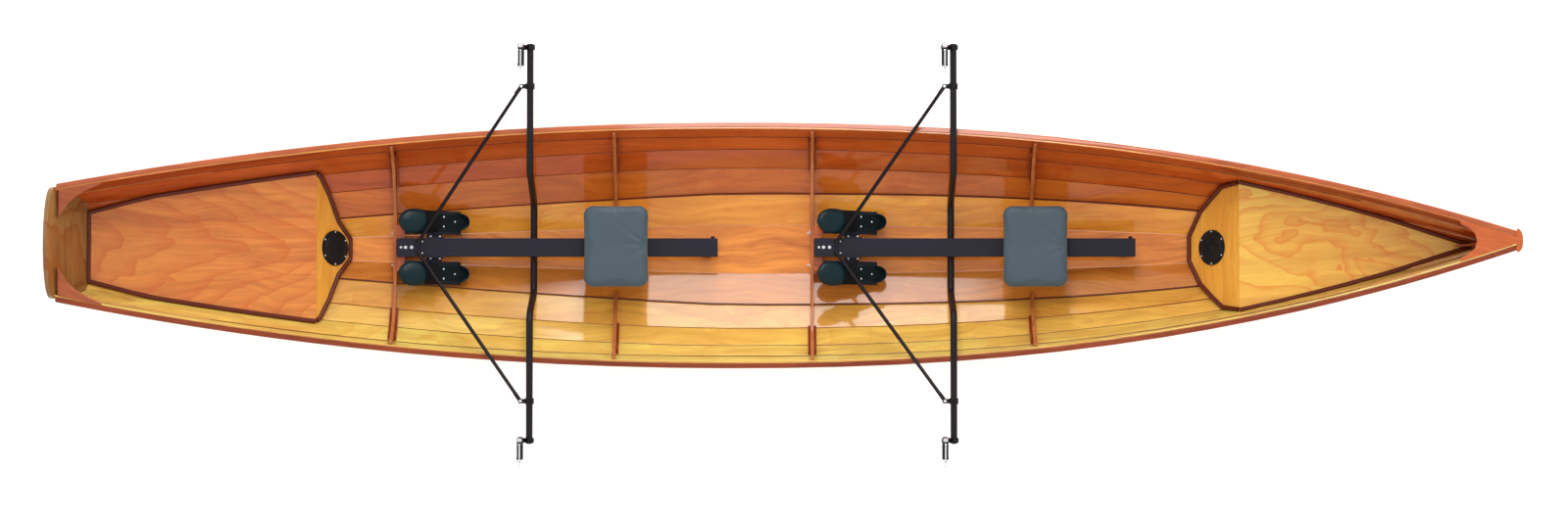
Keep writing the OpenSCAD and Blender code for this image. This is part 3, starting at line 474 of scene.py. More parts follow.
def finish_makers():
    """What makes each finish, by its name."""
    wood, rig, soft = settings().wood, settings().rig, settings().soft
    coat = wood.gloss
    across = math.pi / 2
    makers = {
        "bottom": lambda name: varnished(name, wood.bottom, 1.3, 1.1, coat=coat),
        "stern_deck": lambda name: varnished(name, wood.stern_deck, 4.1, 1.1, 0.62, figure=4.0,
                                             peak=6.0, depth=0.62),
        "bow_deck": lambda name: varnished(name, wood.bow_deck, 2.35, 0.9, 0.66, figure=10.5,
                                           depth=0.80),
        "bulkhead": lambda name: varnished(name, wood.bulkhead, 0.7, 0.8, 0.72, across),
        "mahogany": lambda name: varnished(name, wood.mahogany, 5.2, 1.0, 0.6, coat=coat),
        # The two outwales are one mahogany in two copies: the port one paler as painted light, the
        # starboard one darker as painted shade.
        "outwale_port": lambda name: varnished(name, toned(wood.mahogany, 1.0, (1.2, 1.5, 1.6)),
                                               6.2, 1.0, 0.65, coat=coat),
        "outwale_starboard": lambda name: varnished(name, toned(wood.mahogany, 0.72), 5.2, 1.0,
                                                    0.6, coat=0.5 * coat),
        "quarter_knee": lambda name: varnished(name, toned(wood.knee, 0.62), 4.3, 1.0, 0.65, 0.35),
        "knee": lambda name: varnished(name, wood.knee, 3.3, 1.0, 0.65, 0.35),
        "frame_wood": lambda name: varnished(name, wood.frame_wood, 6.0, 0.9, 0.65, across,
                                             coat=0.5 * coat),
        "cheek_wood": lambda name: varnished(name, toned(wood.mahogany, 0.7), 7.0, 1.0, 0.6,
                                             across, coat=0.5 * coat),
        "transom": lambda name: varnished(name, wood.transom, 2.2, 1.3, 0.55, across, figure=7.0,
                                          depth=0.85),
        "fillet": lambda name: moulded(name, wood.fillet, 0.18, 0.02, 60.0, 0.3),
        "anodised": lambda name: streaked_black(name, rig.anodised),
        "tube": lambda name: streaked_black(name, rig.tube),
        "casting": lambda name: metal(name, rig.tube, 0.42, 0.6),
        "steel": lambda name: metal(name, rig.steel, 0.24),
        "bright": lambda name: metal(name, rig.steel, 0.42, 0.35),
        "plastic": lambda name: moulded(name, rig.plastic, 0.30, 0.05, shine=0.25),
        "nylon": lambda name: moulded(name, rig.nylon, 0.45, 0.05),
        "vinyl": lambda name: vinyl(name, soft.vinyl),
        "shoe": lambda name: moulded(name, soft.shoe, 0.30, 0.08, shine=0.2),
        "insole": lambda name: moulded(name, toned(soft.shoe, 0.35), 0.6, 0.3, 260.0, 0.15),
        "webbing": lambda name: woven(name, soft.webbing),
    }
    makers.update((f"{strake}_{side}", plank_finish) for strake in STRAKES for side, _ in SIDES)
    return makers


MATERIALS = {}


def material(name):
    """The named finish, made the first time that it is asked for."""
    if name not in MATERIALS:
        MATERIALS[name] = finish_makers()[name](name)
    return MATERIALS[name]


# ---------------------------------------------------------------- piece making
BODY_OF = {node: body for body, nodes in frame["record"]["behaviour"]["bodies"].items()
           for node in nodes}


def welded(node):
    """A node's mesh as a bmesh with its doubles merged and its flat faces joined up."""
    bm = bmesh.new()
    bm.from_mesh(frame["nodes"][node].data)
    bmesh.ops.remove_doubles(bm, verts=bm.verts, dist=2e-6)
    bmesh.ops.dissolve_limit(bm, angle_limit=0.0006, verts=bm.verts, edges=bm.edges)
    return bm


def soften(bm, angle):
    """Smooth faces, with edges kept sharp past the angle."""
    for face in bm.faces:
        face.smooth = True
    limit = math.radians(angle)
    for edge in bm.edges:
        edge.smooth = len(edge.link_faces) == 2 and edge.calc_face_angle(0.0) < limit


def as_mesh(name, bm):
    """A mesh of the bmesh, which is freed."""
    mesh = bpy.data.meshes.new(name)
    bm.to_mesh(mesh)
    bm.free()
    return mesh


def placed(name, data):
    """An object of the data, linked to the scene."""
    obj = bpy.data.objects.new(name, data)
    bpy.context.scene.collection.objects.link(obj)
    return obj


def piece(name, bm, finish, body, nodes=(), bevel=0.0, angle=32.0):
    """Makes an object of the bmesh, with its finish, its body and the nodes it stands for."""
    if bevel:
        for face in bm.faces:
            face.smooth = True
    else:
        soften(bm, angle)
    obj = placed(name, as_mesh(name, bm))
    obj.data.materials.append(material(finish))
    if bevel:
        rounding = obj.modifiers.new("rounding", "BEVEL")
        rounding.width = bevel
        rounding.segments = 2
        rounding.limit_method = "ANGLE"
        rounding.angle_limit = math.radians(angle)
        rounding.use_clamp_overlap = True
        even = obj.modifiers.new("even", "WEIGHTED_NORMAL")
        even.keep_sharp = True
    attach(obj, body)
    if nodes:
        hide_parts(*nodes)
    return obj


def dress(node, finish, bevel=0.0, angle=32.0, bm=None):
    """A rounded and finished piece of a CAD node, from its welded mesh or a changed one."""
    return piece(f"{node}_piece", welded(node) if bm is None else bm, finish, BODY_OF[node],
                 [node], bevel, angle)


def bridged(bm, rings):
    """Joins each ring of vertices to the next with faces."""
    for pair in zip(rings, rings[1:]):
        loops = []
        for ring in map(set, pair):
            loops += [e for e in bm.edges if all(v in ring for v in e.verts)]
        bmesh.ops.bridge_loops(bm, edges=loops)


def swept(path, radius, sides=12):
    """A closed bmesh tube along a list of points."""
    bm = bmesh.new()
    rings = []
    for index, point in enumerate(path):
        ahead = path[min(index + 1, len(path) - 1)]
        behind = path[max(index - 1, 0)]
        turn = (ahead - behind).to_track_quat("Z", "Y").to_matrix().to_4x4()
        rings.append(bmesh.ops.create_circle(bm, segments=sides, radius=radius,
                                             matrix=Matrix.Translation(point) @ turn)["verts"])
    bridged(bm, rings)
    bmesh.ops.holes_fill(bm, edges=[e for e in bm.edges if e.is_boundary])
    bmesh.ops.recalc_face_normals(bm, faces=bm.faces)
    return bm


def glue_bead(name, path, radius, sides=12):
    """A bead of thickened glue along a path on the hull."""
    piece(name, swept(path, radius, sides), "fillet", "hull")


def add_block(bm, place, size):
    """Adds a box of the given size."""
    bmesh.ops.create_cube(bm, size=1.0, matrix=place @ Matrix.Diagonal((*size, 1)))


def add_dome(bm, place, radius, flat):
    """Adds a flattened ball, as a screw's head or a stud."""
    bmesh.ops.create_uvsphere(bm, u_segments=16, v_segments=8, radius=radius,
                              matrix=place @ Matrix.Diagonal((1, 1, flat, 1)))


def lathe(profile, steps):
    """A bmesh spun about Z from (radius, height) points."""
    bm = bmesh.new()
    verts = [bm.verts.new((r, 0.0, z)) for r, z in profile]
    edges = [bm.edges.new(pair) for pair in zip(verts, verts[1:])]
    bmesh.ops.spin(bm, geom=verts + edges, axis=(0, 0, 1), cent=(0, 0, 0), steps=steps,
                   angle=math.tau, use_merge=True, use_duplicate=False)
    bmesh.ops.remove_doubles(bm, verts=bm.verts, dist=1e-6)
    bmesh.ops.recalc_face_normals(bm, faces=bm.faces)
    return bm


def outline_prism(points, low, high):
    """A bmesh prism: a closed outline [(x, y)] between two heights."""
    bm = bmesh.new()
    base = bm.faces.new([bm.verts.new((x, y, low)) for x, y in points])
    top = bmesh.ops.extrude_face_region(bm, geom=[base])["geom"]
    bmesh.ops.translate(bm, vec=(0, 0, high - low),
                        verts=[v for v in top if isinstance(v, bmesh.types.BMVert)])
    bmesh.ops.recalc_face_normals(bm, faces=bm.faces)
    return bm


def middle(node):
    low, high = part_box(node)
    return (low + high) / 2


def half_width(node):
    """Half of a CAD node's width across the hull."""
    low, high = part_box(node)
    return (high.y - low.y) / 2


# ---------------------------------------------------------------- operators
class WherryPiece:
    """Shared settings of the operators."""
    bl_options = {"REGISTER", "UNDO"}


class WHERRY_OT_planking(WherryPiece, bpy.types.Operator):
    """Bottom panel and the ten lapped planks"""
    bl_idname = "wherry.planking"
    bl_label = "Planking"

    def execute(self, context):
        dress("bottom_panel", "bottom")
        for side, _ in SIDES:
            for strake in STRAKES:
                dress(f"{strake}_{side}", f"{strake}_{side}", bevel=1.0 * MM, angle=42.0)
        return {"FINISHED"}


class WHERRY_OT_timber(WherryPiece, bpy.types.Operator):
    """Outwales, stem, skeg, transom, knees, frames and cheeks"""
    bl_idname = "wherry.timber"
    bl_label = "Solid timber"
    # How far the outwales' bow ends reach on to the stem and tuck inwards.
    to_stem, tuck = 12 * MM, 4 * MM
    # How far the knees reach over the planks' edges, and stand above them.
    widening, proud = 8 * MM, 2 * MM

    def execute(self, context):
        edge = settings().wood.edge_round
        for side, sign in SIDES:
            node = f"outwale_{side}"
            strip, tip = welded(node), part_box(node)[1].x
            for vert in strip.verts:
                if vert.co.x > tip - 4 * MM:
                    vert.co += Vector((self.to_stem, -sign * self.tuck, 0))
            dress(node, node, edge, 28.0, strip)
        for node, finish in (("stem", "mahogany"), ("skeg", "mahogany"), ("transom", "transom"),
                             ("foot_frames", "frame_wood"), ("side_frames", "frame_wood"),
                             ("frame_cheeks", "cheek_wood")):
            dress(node, finish, bevel=edge)
        for node, finish in (("breasthook", "knee"), ("quarter_knees", "quarter_knee")):
            block = welded(node)
            for vert in block.verts:
                side_step = math.copysign(min(self.widening, abs(vert.co.y)), vert.co.y)
                vert.co += Vector((0, side_step, self.proud))
            dress(node, finish, edge, bm=block)
        return {"FINISHED"}


def deck_edge(node, sign):
    """The top edge of a deck on one side, from stern to bow."""
    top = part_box(node)[1].z
    mesh = frame["nodes"][node].data
    points = {(round(v.co.x, 4), round(v.co.y, 4)) for v in mesh.vertices
              if v.co.z > top - 1e-5 and v.co.y * sign > 0}
    return [Vector((x, y, top)) for x, y in sorted(points)]


def plate_edge(node, sign):
    """The cockpit-side edge of a leaning bulkhead, from its top corner to its foot."""
    mesh = frame["nodes"][node].data
    lean = Vector(frame_axis(node))
    face = max(v.co.dot(lean) for v in mesh.vertices)
    points = {tuple(round(c, 4) for c in v.co) for v in mesh.vertices
              if v.co.dot(lean) > face - 2e-5 and v.co.y * sign > 0.02}
    centre = middle(node)
    reach = half_width("hatch_rings")
    rim = [p for p in map(Vector, points)
           if (p - centre).length > reach * 1.02 and abs(p.y) > reach * 0.2]
    return sorted(rim, key=lambda p: -p.z)


def frame_axis(node):
    """The outward normal of a bulkhead, which its hatch lid slides along."""
    end = node.split("_")[0]
    joint = next(j for j in frame["record"]["behaviour"]["joints"]
                 if j["name"] == f"{end}_lid_lift")
    return joint["axis"]


def refined(points, steps=4):
    """The points with more between them, on straight lines."""
    out = []
    for a, b in zip(points, points[1:]):
        out += [a.lerp(b, i / steps) for i in range(steps)]
    return out + [points[-1]]


def lap_edge(node):
    """The outer top edge of a plank, where the next plank lies on it, along the open hull.

    That edge bows outwards in plan, so it is the widest bowed line through the plank's corners."""
    low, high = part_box(node)
    line = []
    for point in sorted((v.co for v in frame["nodes"][node].data.vertices), key=lambda p: p.x):
        while len(line) > 1:
            a, b = line[-2], line[-1]
            bow = ((b.x - a.x) * (abs(point.y) - abs(a.y))
                   - (abs(b.y) - abs(a.y)) * (point.x - a.x))
            if bow < 0:
                break
            line.pop()
        line.append(point.copy())
    margin = 0.08 * (high.x - low.x)
    return [p for p in line if low.x + margin < p.x < high.x - margin]


class WHERRY_OT_laps(WherryPiece, bpy.types.Operator):
    """Glue lines in the laps between the planks"""
    bl_idname = "wherry.laps"
    bl_label = "Lap glue lines"
    # How much thicker the garboards' glue lines are than the others: partly glue line, partly painted
    # shade for the deeper shadow in the garboards' laps.
    garboard_shade_factor = 3.1

    def execute(self, context):
        for side, sign in SIDES:
            for strake in STRAKES[:-1]:
                plank = f"{strake}_{side}"
                radius = settings().wood.lap_radius
                if strake == STRAKES[0]:
                    # The garboards' thicker dark bead paints the shadow in their laps as well as the
                    # glue line.
                    radius *= self.garboard_shade_factor
                lift = Vector((0, -sign * 0.35 * radius, 0.75 * radius))
                glue_bead(f"{plank}_glue_line", [p + lift for p in lap_edge(plank)], radius, 8)
        return {"FINISHED"}


class WHERRY_OT_decks(WherryPiece, bpy.types.Operator):
    """Decks and bulkheads with the glue fillets round them"""
    bl_idname = "wherry.decks"
    bl_label = "Decks and bulkheads"
    # How far a fillet runs into what it seals, and half the width of the nose's end.
    bite, blunt = 5.5 * MM, 5 * MM

    def execute(self, context):
        radius = settings().wood.fillet_radius
        inset = radius - self.bite
        for end, _ in END_LIDS:
            dress(f"{end}_deck", f"{end}_deck", bevel=0.8 * MM)
            dress(f"{end}_bulkhead", "bulkhead", bevel=0.6 * MM)
            for side, sign in SIDES:
                rim = deck_edge(f"{end}_deck", sign)
                # The deck fillets are glue beads that also paint the shadow along the deck edges.
                glue_bead(f"{end}_deck_fillet_{side}",
                          [p + Vector((0, -sign * inset, 0)) for p in refined(rim)], radius)
                rim = plate_edge(f"{end}_bulkhead", sign)
                rim.append(Vector((rim[-1].x, 0.0, rim[-1].z)))
                out = Vector(frame_axis(f"{end}_bulkhead")) * inset
                heart = middle(f"{end}_bulkhead")
                bead = [p + (heart - p).normalized() * inset + out for p in rim]
                glue_bead(f"{end}_bulkhead_fillet_{side}", refined(bead), radius)
        self.nose(radius, inset)
        bead = [deck_edge("stern_deck", sign)[0] + Vector((2 * MM, 0, 0)) for _, sign in SIDES]
        glue_bead("stern_deck_fillet_aft", refined(bead), radius)
        return {"FINISHED"}

    def nose(self, radius, inset):
        """Carries the bow deck on under the breasthook, along the lines of its edges, with dark
        fillets that also paint the shadow there.
        """
        before, tip = deck_edge("bow_deck", 1)[-2:]
        slope = (before.y - tip.y) / (tip.x - before.x)
        point = Vector((tip.x + (tip.y - self.blunt) / slope, self.blunt, tip.z))
        flat = [(p.x, sign * p.y) for sign, pair in ((1, (tip, point)), (-1, (point, tip)))
                for p in pair]
        piece("bow_deck_nose", outline_prism(flat, tip.z - 5 * MM, tip.z - 0.3 * MM), "bow_deck",
              "hull")
        # The nose's fillets are dark glue beads that also paint the shadow under the breasthook.
        for side, sign in SIDES:
            bead = [Vector((p.x, sign * max(p.y - inset, 1 * MM), p.z)) for p in (tip, point)]
            glue_bead(f"bow_nose_fillet_{side}", refined(bead), radius)


def hatch_matrix(end):
    """Stands a lathed piece on the hatch: its Z along the lid's slide, its origin on the face."""
    axis = Vector(frame_axis(f"{end}_bulkhead"))
    lid = frame["nodes"][f"{end}_hatch_lid"].data
    top = max(v.co.dot(axis) for v in lid.vertices)
    centre = middle(f"{end}_hatch_lid")
    centre += axis * (top - centre.dot(axis))
    return Matrix.Translation(centre) @ axis.to_track_quat("Z", "Y").to_matrix().to_4x4()


def rim_height(place):
    """How high the face of a hatch's ring lies in its lid's own coordinates."""
    back = place.inverted()
    side = 1 if place.translation.x > 0 else -1
    return max((back @ v.co).z for v in frame["nodes"]["hatch_rings"].data.vertices
               if v.co.x * side > 0)


def around(turn, count, radius, height):
    """The place of one of a ring of like things, turned with it."""
    return (Matrix.Rotation(turn * math.tau / count, 4, "Z")
            @ Matrix.Translation((radius, 0, height)))


class WHERRY_OT_hatches(WherryPiece, bpy.types.Operator):
    """Hatch rings and screw-in lids"""
    bl_idname = "wherry.hatches"
    bl_label = "Hatches"
    ribs, screws = 12, 6

    def execute(self, context):
        dress("hatch_rings", "plastic", bevel=1.2 * MM)
        radius = half_width("stern_hatch_lid")
        reach = half_width("hatch_rings")
        profile = [(0.0, -16 * MM), (radius - 7 * MM, -16 * MM), (radius - 7 * MM, -3.2 * MM),
                   (radius - 1 * MM, -3.2 * MM), (radius, -2.2 * MM),
                   (radius - 0.6 * MM, -0.6 * MM), (radius - 2 * MM, 0.0), (radius - 6 * MM, 0.0),
                   (radius - 7 * MM, -1.2 * MM), (radius - 9 * MM, -1.2 * MM),
                   (radius - 10 * MM, -0.2 * MM), (radius * 0.62, -0.2 * MM),
                   (radius * 0.58, -1.8 * MM), (radius * 0.20, -1.8 * MM),
                   (radius * 0.16, -0.6 * MM), (0.0, -0.6 * MM)]
        for end, _ in END_LIDS:
            lid = lathe(profile, 64)
            for turn in range(self.ribs):
                add_block(lid, around(turn, self.ribs, radius * 0.78, -0.6 * MM),
                          (12 * MM, 2.4 * MM, 1.6 * MM))
            for sign in (-1, 1):
                add_block(lid, Matrix.Translation((0, sign * radius * 0.38, -0.9 * MM)),
                          (radius * 0.5, 3 * MM, 2.2 * MM))
            place = hatch_matrix(end)
            heads = bmesh.new()
            for turn in range(self.screws):
                spot = around(turn, self.screws, reach - 7 * MM, rim_height(place))
                add_dome(heads, place @ spot, 3.4 * MM, 0.45)
            piece(f"{end}_rim_screws", heads, "bright", "hull")
            bmesh.ops.transform(lid, matrix=place, verts=lid.verts)
            piece(f"{end}_lid_piece", lid, "plastic", BODY_OF[f"{end}_hatch_lid"],
                  [f"{end}_hatch_lid"], bevel=0.4 * MM, angle=40.0)
        return {"FINISHED"}


class WHERRY_OT_rails(WherryPiece, bpy.types.Operator):
    """Rails, their end plugs, supports, saddles and foot brackets"""
    bl_idname = "wherry.rails"
    bl_label = "Rails"
    # How far the stop knob stands out of a rail's side, and the least width of a timber block.
    knob, block_width = 9 * MM, 160 * MM

    def execute(self, context):
        edge = settings().rig.edge
        for unit in UNITS:
            dress(f"{unit}_rail", "anodised", bevel=1.5 * MM)
            low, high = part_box(f"{unit}_rail")
            wide, tall = high.y - self.knob - low.y, high.z - low.z
            for end, x in (("bow", high.x), ("stern", low.x)):
                plug = bmesh.new()
                place = Matrix.Translation((x, low.y + wide / 2, low.z + tall / 2))
                add_block(plug, place, (3 * MM, wide - 6.4 * MM, tall - 6.4 * MM))
                piece(f"{unit}_rail_plug_{end}", plug, "plastic", "hull",
                      bevel=edge)
        dress("tube_saddles", "casting", bevel=edge)
        dress("foot_brackets", "anodised", bevel=edge)
        blocks, stands = split_by_width(welded("rail_supports"), self.block_width)
        half = wide / 2 - 4 * MM
        for vert in stands.verts:
            vert.co.y = max(-half, min(half, vert.co.y))
        piece("mounting_blocks", blocks, "knee", "hull", ["rail_supports"], bevel=2 * MM)
        piece("rail_stands", stands, "anodised", "hull", bevel=edge)
        return {"FINISHED"}


def islands(bm):
    """The bmesh's vertices, in sets that hang together."""
    unseen, found = set(bm.verts), []
    while unseen:
        island, front = set(), [unseen.pop()]
        while front:
            vert = front.pop()
            island.add(vert)
            near = {e.other_vert(vert) for e in vert.link_edges} & unseen
            unseen -= near
            front += near
        found.append(island)
    return found


def split_by_width(bm, limit):
    """Two bmeshes of one: the timber blocks, wider than the limit, and the metal stands."""
    parts = (bm, bm.copy())
    for part, wide_ones in zip(parts, (True, False)):
        drop = []
        for island in islands(part):
            width = max(v.co.y for v in island) - min(v.co.y for v in island)
            if (width > limit) != wide_ones:
                drop += island
        bmesh.ops.delete(part, geom=drop, context="VERTS")
    return parts


class WHERRY_OT_outriggers(WherryPiece, bpy.types.Operator):
    """Wing tubes with end plugs, stays, clamps and pin brackets"""
    bl_idname = "wherry.outriggers"
    bl_label = "Outriggers"
    # How much the stays are thickened all round.
    stay_growth = 2.0 * MM

    def execute(self, context):
        edge = settings().rig.edge
        for unit in UNITS:
            tube = f"{unit}_wing_tube"
            dress(tube, "tube", angle=46.0)
            low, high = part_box(tube)
            radius = (high.x - low.x) / 2
            for side, sign in SIDES:
                profile = [(0.0, 4.0 * MM), (radius * 0.55, 3.4 * MM), (radius - 0.6 * MM, 1.6 * MM),
                           (radius, 0.3 * MM), (radius, 0.0), (radius * 0.78, 0.0),
                           (radius * 0.78, -14 * MM), (0.0, -14 * MM)]
                plug = lathe(profile, 32)
                tip = Vector(((low.x + high.x) / 2, high.y if sign > 0 else low.y, high.z - radius))
                turn = Matrix.Rotation(-sign * math.pi / 2, 4, "X")
                bmesh.ops.transform(plug, matrix=Matrix.Translation(tip) @ turn, verts=plug.verts)
                piece(f"{tube}_plug_{side}", plug, "plastic", "hull")
            stays = welded(f"{unit}_stays")
            stays.normal_update()
            for vert in stays.verts:
                vert.co += vert.normal * self.stay_growth
            dress(f"{unit}_stays", "tube", angle=40.0, bm=stays)
        for node in ("stay_clamps", "pin_brackets"):
            dress(node, "casting", bevel=edge)
        dress("oarlock_pins", "steel", bevel=0.6 * MM)
        return {"FINISHED"}


class WHERRY_OT_oarlocks(WherryPiece, bpy.types.Operator):
    """Oarlocks on their pins, each with its gate"""
    bl_idname = "wherry.oarlocks"
    bl_label = "Oarlocks"

    def execute(self, context):
        for unit in UNITS:
            for side, _ in SIDES:
                dress(f"{unit}_{side}_oarlock", "plastic", bevel=1.6 * MM)
                dress(f"{unit}_{side}_gate", "steel", bevel=0.5 * MM)
        return {"FINISHED"}


# ---------------------------------------------------------------- shoes
SHOE_SLOPE = math.radians(24.0)
# Half widths along a shoe, from heel to toe, as shares of its length and half width.
SHOE_OUTLINE = ((0.0, 0.02), (0.012, 0.30), (0.05, 0.52), (0.13, 0.67), (0.28, 0.63), (0.42, 0.64),
                (0.58, 0.80), (0.72, 0.93), (0.82, 0.94), (0.90, 0.82), (0.96, 0.56), (0.99, 0.28),
                (1.0, 0.02))
SOLE_HEIGHT = 13 * MM
# Shares of the shoe's length and of the cap's height, from the instep to the toe.
TOE_STATIONS = ((0.40, 1.0), (0.50, 1.0), (0.62, 0.93), (0.74, 0.80), (0.85, 0.64), (0.93, 0.46),
                (0.975, 0.28), (0.995, 0.1))
# Shares of the cup's height and of its width, from the sole up.
HEEL_STATIONS = ((0.0, 0.97), (0.25, 1.0), (0.6, 0.97), (0.85, 0.9), (1.0, 0.84))
# Shares of the shoe's length and width.
STUD_PLACES = ((0.2, 0.0), (0.36, 0.18), (0.36, -0.18), (0.5, 0.0))


def between(table, at):
    """Reads a table of (place, value) pairs, with straight lines between them."""
    for (x0, y0), (x1, y1) in zip(table, table[1:]):
        if at <= x1:
            return y0 + (y1 - y0) * (at - x0) / (x1 - x0)
    return table[-1][1]


def shoe_place(node, sign):
    """Where a shoe lies: its matrix (heel at the origin, toe along X), length and half width."""
    along = Vector((-math.cos(SHOE_SLOPE), 0, math.sin(SHOE_SLOPE)))
    up = Vector((math.sin(SHOE_SLOPE), 0, math.cos(SHOE_SLOPE)))
    points = [v.co for v in frame["nodes"][node].data.vertices if v.co.y * sign > 0]
    heel = min(p.dot(along) for p in points)
    toe = max(p.dot(along) for p in points)
    floor = min(p.dot(up) for p in points)
    right = min(p.y for p in points)
    left = max(p.y for p in points)
    origin = along * heel + up * floor + Vector((0, (left + right) / 2, 0))
    turn = Matrix((along, up.cross(along), up)).transposed().to_4x4()
    return Matrix.Translation(origin) @ turn, toe - heel, (left - right) / 2


def sole_points(size, half, inset=0.0, steps=36):
    """The outline of a sole, drawn smoothly through its table."""
    xs = [size * (1 - math.cos(math.pi * i / steps)) / 2 for i in range(steps + 1)]
    side = [(inset + x * (size - 2 * inset) / size,
             max(1.5 * MM, between(SHOE_OUTLINE, x / size) * half - inset)) for x in xs]
    return side + [(x, -y) for x, y in reversed(side)]


def shell_over(size, half, stations, height, sink):
    """A tube of arches along a shoe: each station holds (share of length, share of height)."""
    bm = bmesh.new()
    rings = []
    for at, rise in stations:
        width = between(SHOE_OUTLINE, at) * half - 1.5 * MM
        place = (Matrix.Translation((at * size, 0, sink)) @ Matrix.Rotation(math.pi / 2, 4, "Y")
                 @ Matrix.Diagonal((height * rise, width, 1, 1)))
        rings.append(bmesh.ops.create_circle(bm, segments=40, radius=1.0, matrix=place)["verts"])
    bridged(bm, rings)
    return bm


def cut_off(bm, at, normal):
    """Cuts away what lies beyond a plane."""
    bmesh.ops.bisect_plane(bm, geom=bm.verts[:] + bm.edges[:] + bm.faces[:], plane_co=at,
                           plane_no=normal, clear_outer=True)


def walled(bm, thick):
    """Gives an open shell its thickness, inwards."""
    bmesh.ops.recalc_face_normals(bm, faces=bm.faces)
    bmesh.ops.solidify(bm, geom=bm.faces[:], thickness=thick)


def toe_cap(size, half):
    """The closed toe of a shoe, cut off in a slope over the instep."""
    cap = shell_over(size, half, TOE_STATIONS, 29 * MM, SOLE_HEIGHT - 2 * MM)
    cut_off(cap, (0, 0, SOLE_HEIGHT - 1 * MM), (0, 0, -1))
    cut_off(cap, (0.455 * size, 0, 26 * MM), (-0.92, 0, 0.4))
    walled(cap, 2.4 * MM)
    return cap


def heel_cup():
    """The open cup round the heel, cut down towards the instep."""
    cup = bmesh.new()
    rings = []
    for rise, grow in HEEL_STATIONS:
        place = (Matrix.Translation((38 * MM, 0, SOLE_HEIGHT - 1 * MM + rise * 30 * MM))
                 @ Matrix.Diagonal((37 * MM * grow, 35 * MM * grow, 1, 1)))
        rings.append(bmesh.ops.create_circle(cup, segments=36, radius=1.0, matrix=place)["verts"])
    bridged(cup, rings)
    cut_off(cup, (46 * MM, 0, SOLE_HEIGHT + 10 * MM), (0.80, 0, 0.60))
    walled(cup, 2.6 * MM)
    return cup


def footbed(size, half):
    """The soft bed inside a shoe, a little smaller than its sole."""
    bed = outline_prism(sole_points(size * 0.94, half, 5 * MM), SOLE_HEIGHT - 0.4 * MM,
                        SOLE_HEIGHT + 1.4 * MM)
    bmesh.ops.translate(bed, vec=(size * 0.03, 0, 0), verts=bed.verts)
    return bed


def bed_studs(size, half):
    """The screws that hold a shoe down through its footbed."""
    studs = bmesh.new()
    for x, y in STUD_PLACES:
        place = Matrix.Translation((x * size, y * half * 2, SOLE_HEIGHT + 2.2 * MM))
        add_dome(studs, place, 4 * MM, 0.4)
    return studs


class WHERRY_OT_shoes(WherryPiece, bpy.types.Operator):
    """Moulded shoes with their footbeds and straps"""
    bl_idname = "wherry.shoes"
    bl_label = "Shoes"

    def execute(self, context):
        for unit in UNITS:
            for side, sign in SIDES:
                place, size, half = shoe_place(f"{unit}_shoes", sign)
                sole = outline_prism(sole_points(size, half), 0.0, SOLE_HEIGHT)
                cap, cup = toe_cap(size, half), heel_cup()
                bed, studs = footbed(size, half), bed_studs(size, half)
                for bm in (sole, cap, cup, bed, studs):
                    bmesh.ops.transform(bm, matrix=place, verts=bm.verts)
                body = f"{unit}_shoe_{side}"
                piece(f"{body}_sole", sole, "shoe", "hull", [f"{unit}_shoes"], 1.8 * MM, 35.0)
                piece(f"{body}_toe_cap", cap, "shoe", "hull", bevel=0.5 * MM, angle=50.0)
                piece(f"{body}_heel_cup", cup, "shoe", "hull", bevel=0.5 * MM, angle=50.0)
                piece(f"{body}_footbed", bed, "insole", "hull", bevel=0.6 * MM)
                piece(f"{body}_studs", studs, "steel", "hull")
        dress("shoe_straps", "webbing", bevel=0.7 * MM, angle=50.0)
        return {"FINISHED"}


# ---------------------------------------------------------------- seats
def settled(obj):
    """Replaces an object's mesh by what its modifiers make of it."""
    graph = bpy.context.evaluated_depsgraph_get()
    mesh = bpy.data.meshes.new_from_object(obj.evaluated_get(graph))
    obj.modifiers.clear()
    old = obj.data
    obj.data = mesh
    bpy.data.meshes.remove(old)


def inflated(obj, rest):
    """Blows the pad's cover up by cloth simulation and caps how far each point may move."""
    soft = settings().soft
    start = [v.co.copy() for v in obj.data.vertices]
    cloth = obj.modifiers.new("cover", "CLOTH")
    cloth.settings.use_pressure = True
    cloth.settings.uniform_pressure_force = soft.pressure
    cloth.settings.effector_weights.gravity = 0.0
    cloth.settings.quality = 4
    scene = bpy.context.scene
    for step in range(1, soft.steps + 1):
        scene.frame_set(step)
    settled(obj)
    scene.frame_set(1)
    for vert, was in zip(obj.data.vertices, start):
        move = vert.co - was
        if move.length > soft.swell:
            move *= soft.swell / move.length
        vert.co = was + move
        vert.co.z = max(vert.co.z, rest)


